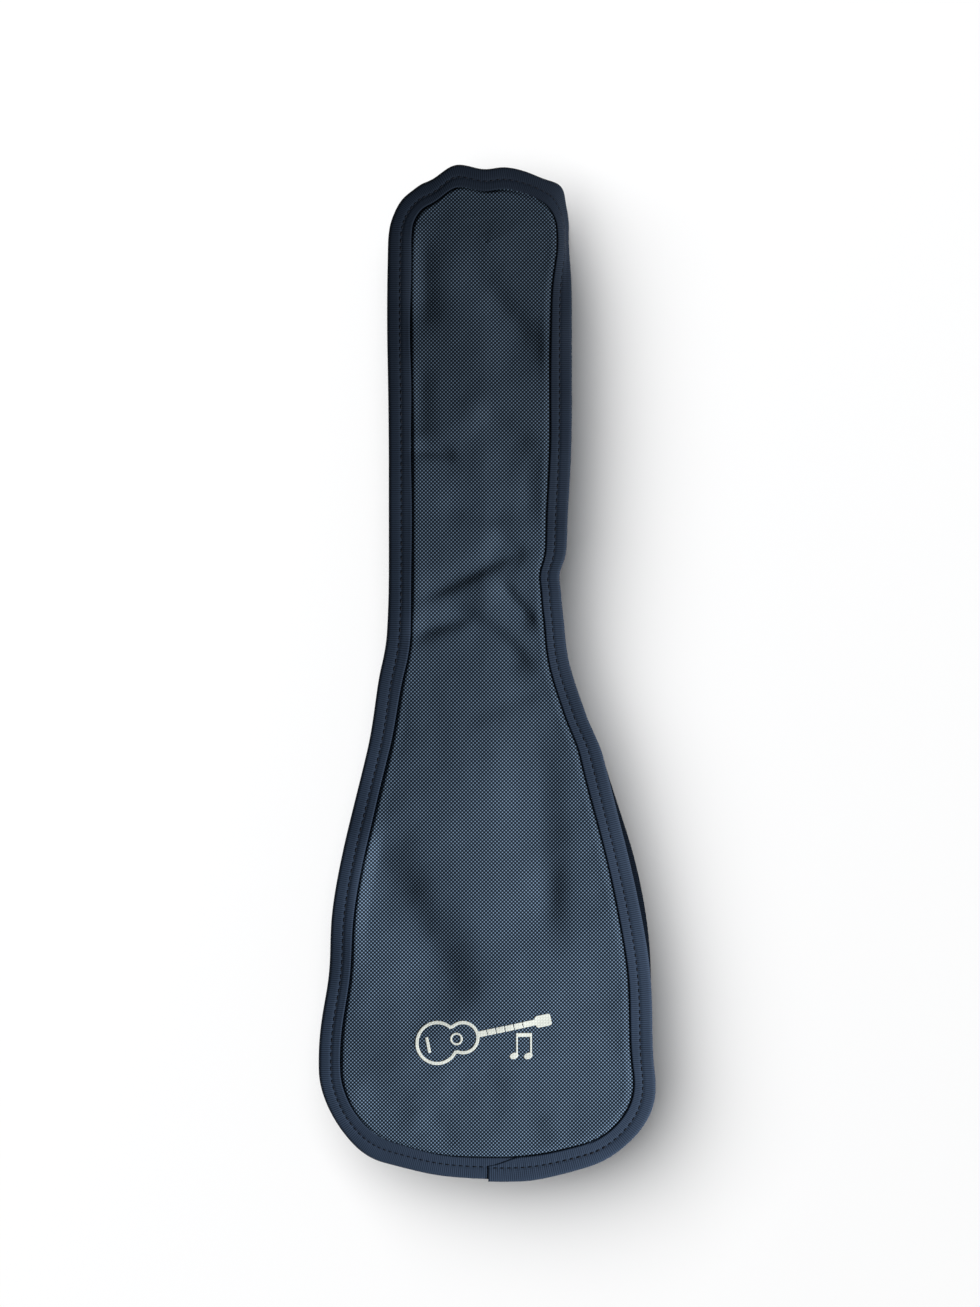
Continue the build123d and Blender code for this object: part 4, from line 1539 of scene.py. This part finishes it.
@dataclass(frozen=True)
class WovenFinish:
    """Woven cloth or tape: raised threads in one colour over gaps in a darker one."""

    name: str
    thread: Colour
    gap: Colour
    cover: Cover
    pattern: Pattern
    pitch: float
    relief: float
    roughness: float = 0.72
    sheen: float = 0.02
    lint: float = 0.05
    # Strength of the painted light gradient along the bag: painted shade at the head end, painted light at
    # the tail end.
    painted_light_gradient: float = 0.0
    stretch: tuple[float, float] = (1.0, 1.0)

    def build(self, groups: dict[str, bpy.types.NodeTree]) -> bpy.types.Material:
        """Material with the pattern in its colour, roughness and bump, from the shared groups, and a
        painted light gradient that darkens the head end and lightens the tail end.
        """
        material, nodes, shader = new_material(self.name)
        place = nodes.add("ShaderNodeTexCoord")
        vector = place.outputs[self.cover.value]
        mapping = nodes.add("ShaderNodeMapping", {"Vector": vector, "Scale": (*self.stretch, 1.0)})
        weave = nodes.add("ShaderNodeGroup", {"Vector": mapping.outputs[0], "Pitch": self.pitch},
                          node_tree=groups[self.pattern.value])
        wear = nodes.add("ShaderNodeGroup", {"Vector": vector}, node_tree=groups["Uneven dye and lint"])
        raised = weave.outputs["Height"]
        if self.pattern is Pattern.WEAVE:
            raised = nodes.math("MULTIPLY", weave.outputs["Top thread"], raised)
        shown = nodes.math("ADD", raised, 0.0, clamp=True)
        dye_and_painted_light = nodes.math("MULTIPLY_ADD", wear.outputs["Dye"], 0.5, 0.75)
        # Painted light: the colour darkens towards the head end and lightens towards the tail end, in place
        # of the window light falling off along the bag.
        if self.painted_light_gradient:
            along = nodes.ramp(nodes.parts(place.outputs["Object"]).outputs[1], 0.27, -0.24)
            painted_light_factor = nodes.math("MULTIPLY_ADD", along, self.painted_light_gradient, 1.0 - self.painted_light_gradient / 2)
            dye_and_painted_light = nodes.math("MULTIPLY", dye_and_painted_light, painted_light_factor)
        tint = nodes.add("ShaderNodeCombineColor", {0: dye_and_painted_light, 1: dye_and_painted_light, 2: dye_and_painted_light})
        colour = nodes.mix(1.0, nodes.mix(shown, self.gap, self.thread), tint.outputs[0], "MULTIPLY")
        lint = nodes.math("MULTIPLY", wear.outputs["Lint"], self.lint)
        fibre = wear.outputs["Fibre"]
        fuzz = nodes.math("MULTIPLY_ADD", fibre, 0.18, weave.outputs["Height"])
        nodes.feed(shader, {
            "Base Color": nodes.mix(lint, colour, (0.32, 0.34, 0.37)),
            "Roughness": nodes.math("MULTIPLY_ADD", fibre, 0.2, self.roughness - 0.1),
            "Normal": nodes.bump(fuzz, self.relief, 0.8),
            "Specular IOR Level": 0.08,
            "Sheen Weight": self.sheen,
            "Sheen Roughness": 0.45,
            "Sheen Tint": (0.62, 0.74, 0.92, 1.0),
        })
        return material


@dataclass(frozen=True)
class SolidFinish:
    """Uniform stuff with a noise-made surface: thread, foam, nylon, ink or metal."""

    name: str
    light: Colour
    dark: Colour
    roughness: float
    grain: float
    relief: float
    metallic: float = 0.0
    scratches: float = 0.0

    def build(self, groups: dict[str, bpy.types.NodeTree]) -> bpy.types.Material:
        """Material with grain in its colour, roughness and bump, from the shared groups."""
        material, nodes, shader = new_material(self.name)
        vector = nodes.add("ShaderNodeTexCoord").outputs["Object"]
        height = nodes.noise(vector, 1.0 / (self.grain * MM), 3.0)
        wear = nodes.add("ShaderNodeGroup", {"Vector": vector, "Size": 0.02},
                         node_tree=groups["Uneven dye and lint"])
        spread = nodes.ramp(height, 0.3, 0.7)
        share = nodes.math("MULTIPLY_ADD", wear.outputs["Dye"], 0.5, nodes.math("MULTIPLY", spread, 0.5))
        rough = nodes.math("MULTIPLY_ADD", spread, 0.16, self.roughness - 0.08)
        if self.scratches:
            drawn = nodes.add("ShaderNodeMapping", {"Vector": vector, "Scale": (6000.0, 240.0, 6000.0)})
            lines = nodes.noise(drawn.outputs[0], 1.0, 2.0)
            height = nodes.math("MULTIPLY_ADD", lines, self.scratches, height)
            rough = nodes.math("MULTIPLY_ADD", lines, 0.2 * self.scratches, rough)
        nodes.feed(shader, {
            "Base Color": nodes.mix(share, self.dark, self.light),
            "Roughness": rough,
            "Normal": nodes.bump(height, self.relief, 0.7),
            "Metallic": self.metallic,
            "Specular IOR Level": 0.5 if self.metallic else 0.12,
        })
        return material


@dataclass(frozen=True)
class InkFinish:
    """Screen-printed ink that lets the weave below show as paler domes and small gaps."""

    name: str = "cream_print_ink"
    ink: Colour = (0.78, 0.80, 0.72)
    worn: Colour = (0.50, 0.53, 0.49)
    pitch: float = 0.00090

    def build(self, groups: dict[str, bpy.types.NodeTree]) -> bpy.types.Material:
        """Material with the weave's gaps as darker dots in the ink."""
        material, nodes, shader = new_material(self.name)
        place = nodes.add("ShaderNodeTexCoord")
        weave = nodes.add("ShaderNodeGroup", {"Vector": place.outputs["Object"], "Pitch": self.pitch},
                          node_tree=groups["Plain weave"])
        dots = nodes.ramp(weave.outputs["Gap"], 0.35, 0.95)
        nodes.feed(shader, {"Base Color": nodes.mix(dots, self.ink, self.worn), "Roughness": 0.6,
                            "Normal": nodes.bump(weave.outputs["Height"], 0.12, 0.6)})
        return material


# The panel and binding finishes carry the painted light gradient along the bag, darker at the head and
# lighter at the tail.
FINISHES = {
    "panel": WovenFinish("slate_woven_cloth", (0.145, 0.218, 0.311), (0.004, 0.007, 0.012), Cover.OBJECT,
                         Pattern.WEAVE, 0.00104, 0.14, painted_light_gradient=0.75),
    "wall": WovenFinish("slate_wall_cloth", (0.110, 0.172, 0.252), (0.004, 0.007, 0.012), Cover.UV,
                        Pattern.WEAVE, 0.00090, 0.14),
    "binding": WovenFinish("ribbed_binding_tape", (0.021, 0.033, 0.056), (0.003, 0.005, 0.009), Cover.UV,
                           Pattern.RIBS, 0.0012, 0.16, painted_light_gradient=0.85),
    "lining": WovenFinish("black_lining_cloth", (0.030, 0.031, 0.034), (0.008, 0.008, 0.009), Cover.OBJECT,
                          Pattern.WEAVE, 0.0006, 0.06, roughness=0.5),
    "webbing": WovenFinish("black_webbing", (0.034, 0.038, 0.046), (0.006, 0.007, 0.009), Cover.UV,
                           Pattern.WEAVE, 0.0017, 0.30, stretch=(1.0, 0.72)),
    "zip_tape": WovenFinish("black_zip_tape", (0.026, 0.028, 0.033), (0.007, 0.008, 0.010), Cover.UV,
                            Pattern.RIBS, 0.0008, 0.08),
    "thread": SolidFinish("navy_thread", (0.007, 0.009, 0.015), (0.004, 0.005, 0.008), 0.6, 0.25, 0.05),
    "foam": SolidFinish("grey_foam", (0.34, 0.35, 0.36), (0.20, 0.21, 0.22), 0.9, 0.6, 0.3),
    "coil": SolidFinish("black_nylon_coil", (0.022, 0.022, 0.025), (0.012, 0.012, 0.014), 0.38, 0.8, 0.02),
    "metal": SolidFinish("dark_nickel", (0.36, 0.35, 0.34), (0.20, 0.20, 0.20), 0.34, 1.5, 0.02,
                         metallic=1.0, scratches=0.5),
    "ink": InkFinish(),
}


def build_finishes() -> dict[str, bpy.types.Material]:
    """Every finish as a material, around the three shared node groups."""
    groups = {group.name: group for group in (weave_group(), rib_group(), wear_group())}
    return {key: finish.build(groups) for key, finish in FINISHES.items()}


# ---------------------------------------------------------------- stage, lights and camera
@dataclass
class Studio:
    """Plain white floor, two soft lights and a camera straight above the bag."""

    height: float
    distance: float = 1.757
    centre: tuple[float, float] = (0.0028, 0.0108)
    lens: float = 85.0
    floor_reach: float = 14.0
    floor_drop: float = 0.0002

    def floor(self) -> Piece:
        """White floor under the bag."""
        mesh = bpy.data.meshes.new("floor")
        mesh.from_pydata([(x * self.floor_reach, y * self.floor_reach, -self.floor_drop)
                          for x, y in ((-1, -1), (1, -1), (1, 1), (-1, 1))], [], [(0, 1, 2, 3)])
        floor = in_scene("floor", mesh)
        material, nodes, shader = new_material("white_floor")
        nodes.feed(shader, {"Base Color": (0.9, 0.9, 0.9, 1.0), "Roughness": 0.9,
                            "Specular IOR Level": 0.0})
        mesh.materials.append(material)
        return floor

    @staticmethod
    def softbox(name: str, place: tuple[float, float, float], target: tuple[float, float, float],
                size: tuple[float, float], power: float, colour: Colour) -> Piece:
        """Rectangular area light that faces a target."""
        light = bpy.data.lights.new(name, "AREA")
        light.shape = "RECTANGLE"
        light.size, light.size_y = size
        light.energy = power
        light.color = colour
        lamp = in_scene(name, light)
        lamp.location = place
        direction = Vector(target) - Vector(place)
        lamp.rotation_euler = direction.to_track_quat("-Z", "Y").to_euler()
        return lamp

    def light(self, floor: Piece, shaded: tuple[Piece, ...]) -> None:
        """A window light for the bag and a softbox that gives the floor its shadow.

        Args:
            floor: Floor, which only the softbox lights.
            shaded: Pieces that lie on the floor, lit and shaded with it.
        """
        window = self.softbox("window_light", (2.3, -1.0, 1.5), (0.0, -0.02, 0.03), (1.0, 0.9),
                              170.0, (0.98, 0.99, 1.0))
        shade = self.softbox("floor_light", (-5.2, 4.3, 11.2), (0.0, 0.0, 0.0), (16.0, 16.0),
                             2990.0, (1.0, 1.0, 1.0))
        low_down = bpy.data.collections.new("lit_by_floor_light")
        unlit = bpy.data.collections.new("unlit_by_window_light")
        for item in (floor, *shaded):
            low_down.objects.link(item)
            unlit.objects.link(item)
        shade.light_linking.receiver_collection = low_down
        window.light_linking.receiver_collection = unlit
        for member in unlit.collection_objects:
            member.light_linking.link_state = "EXCLUDE"
        world = bpy.data.worlds.new("studio")
        world.use_nodes = True
        background = world.node_tree.nodes["Background"]
        background.inputs[0].default_value = (0.95, 0.97, 1.0, 1.0)
        background.inputs[1].default_value = 0.10
        bpy.context.scene.world = world

    def camera(self) -> None:
        """Camera straight above, with the bag's length along the long side of the picture."""
        lens = bpy.data.cameras.new("camera")
        lens.lens = self.lens
        lens.sensor_width = 36.0
        eye = in_scene("camera", lens)
        eye.location = (*self.centre, self.height + self.distance)
        bpy.context.scene.camera = eye

    def build(self, shaded: tuple[Piece, ...]) -> None:
        """Set up the whole stage."""
        bpy.context.scene.view_settings.view_transform = "Standard"
        self.camera()
        self.light(self.floor(), shaded)


def main() -> None:
    """Build every sub-assembly of the bag from the outside in, then the stage."""
    logging.basicConfig(level=logging.INFO, format="%(message)s")
    sizes = BagSizes.from_frame()
    outline = Outline(sizes)
    shop = Workshop(sizes, outline, Drape(sizes, outline), build_finishes())
    front = Panel(shop, Side.FRONT, "stretched")
    front.build()
    Panel(shop, Side.BACK, "laid").build()
    FlapPrint(shop, height=sizes.height + front.puff).build()
    for side in Side:
        Binding(shop, side).build()
    for assembly in (SideWalls, Zip, Slider, Handle):
        assembly(shop).build()
    Studio(height=sizes.height * MM).build(shaded=(bpy.data.objects["back_binding_tape"],))


if __name__ == "__main__":
    main()
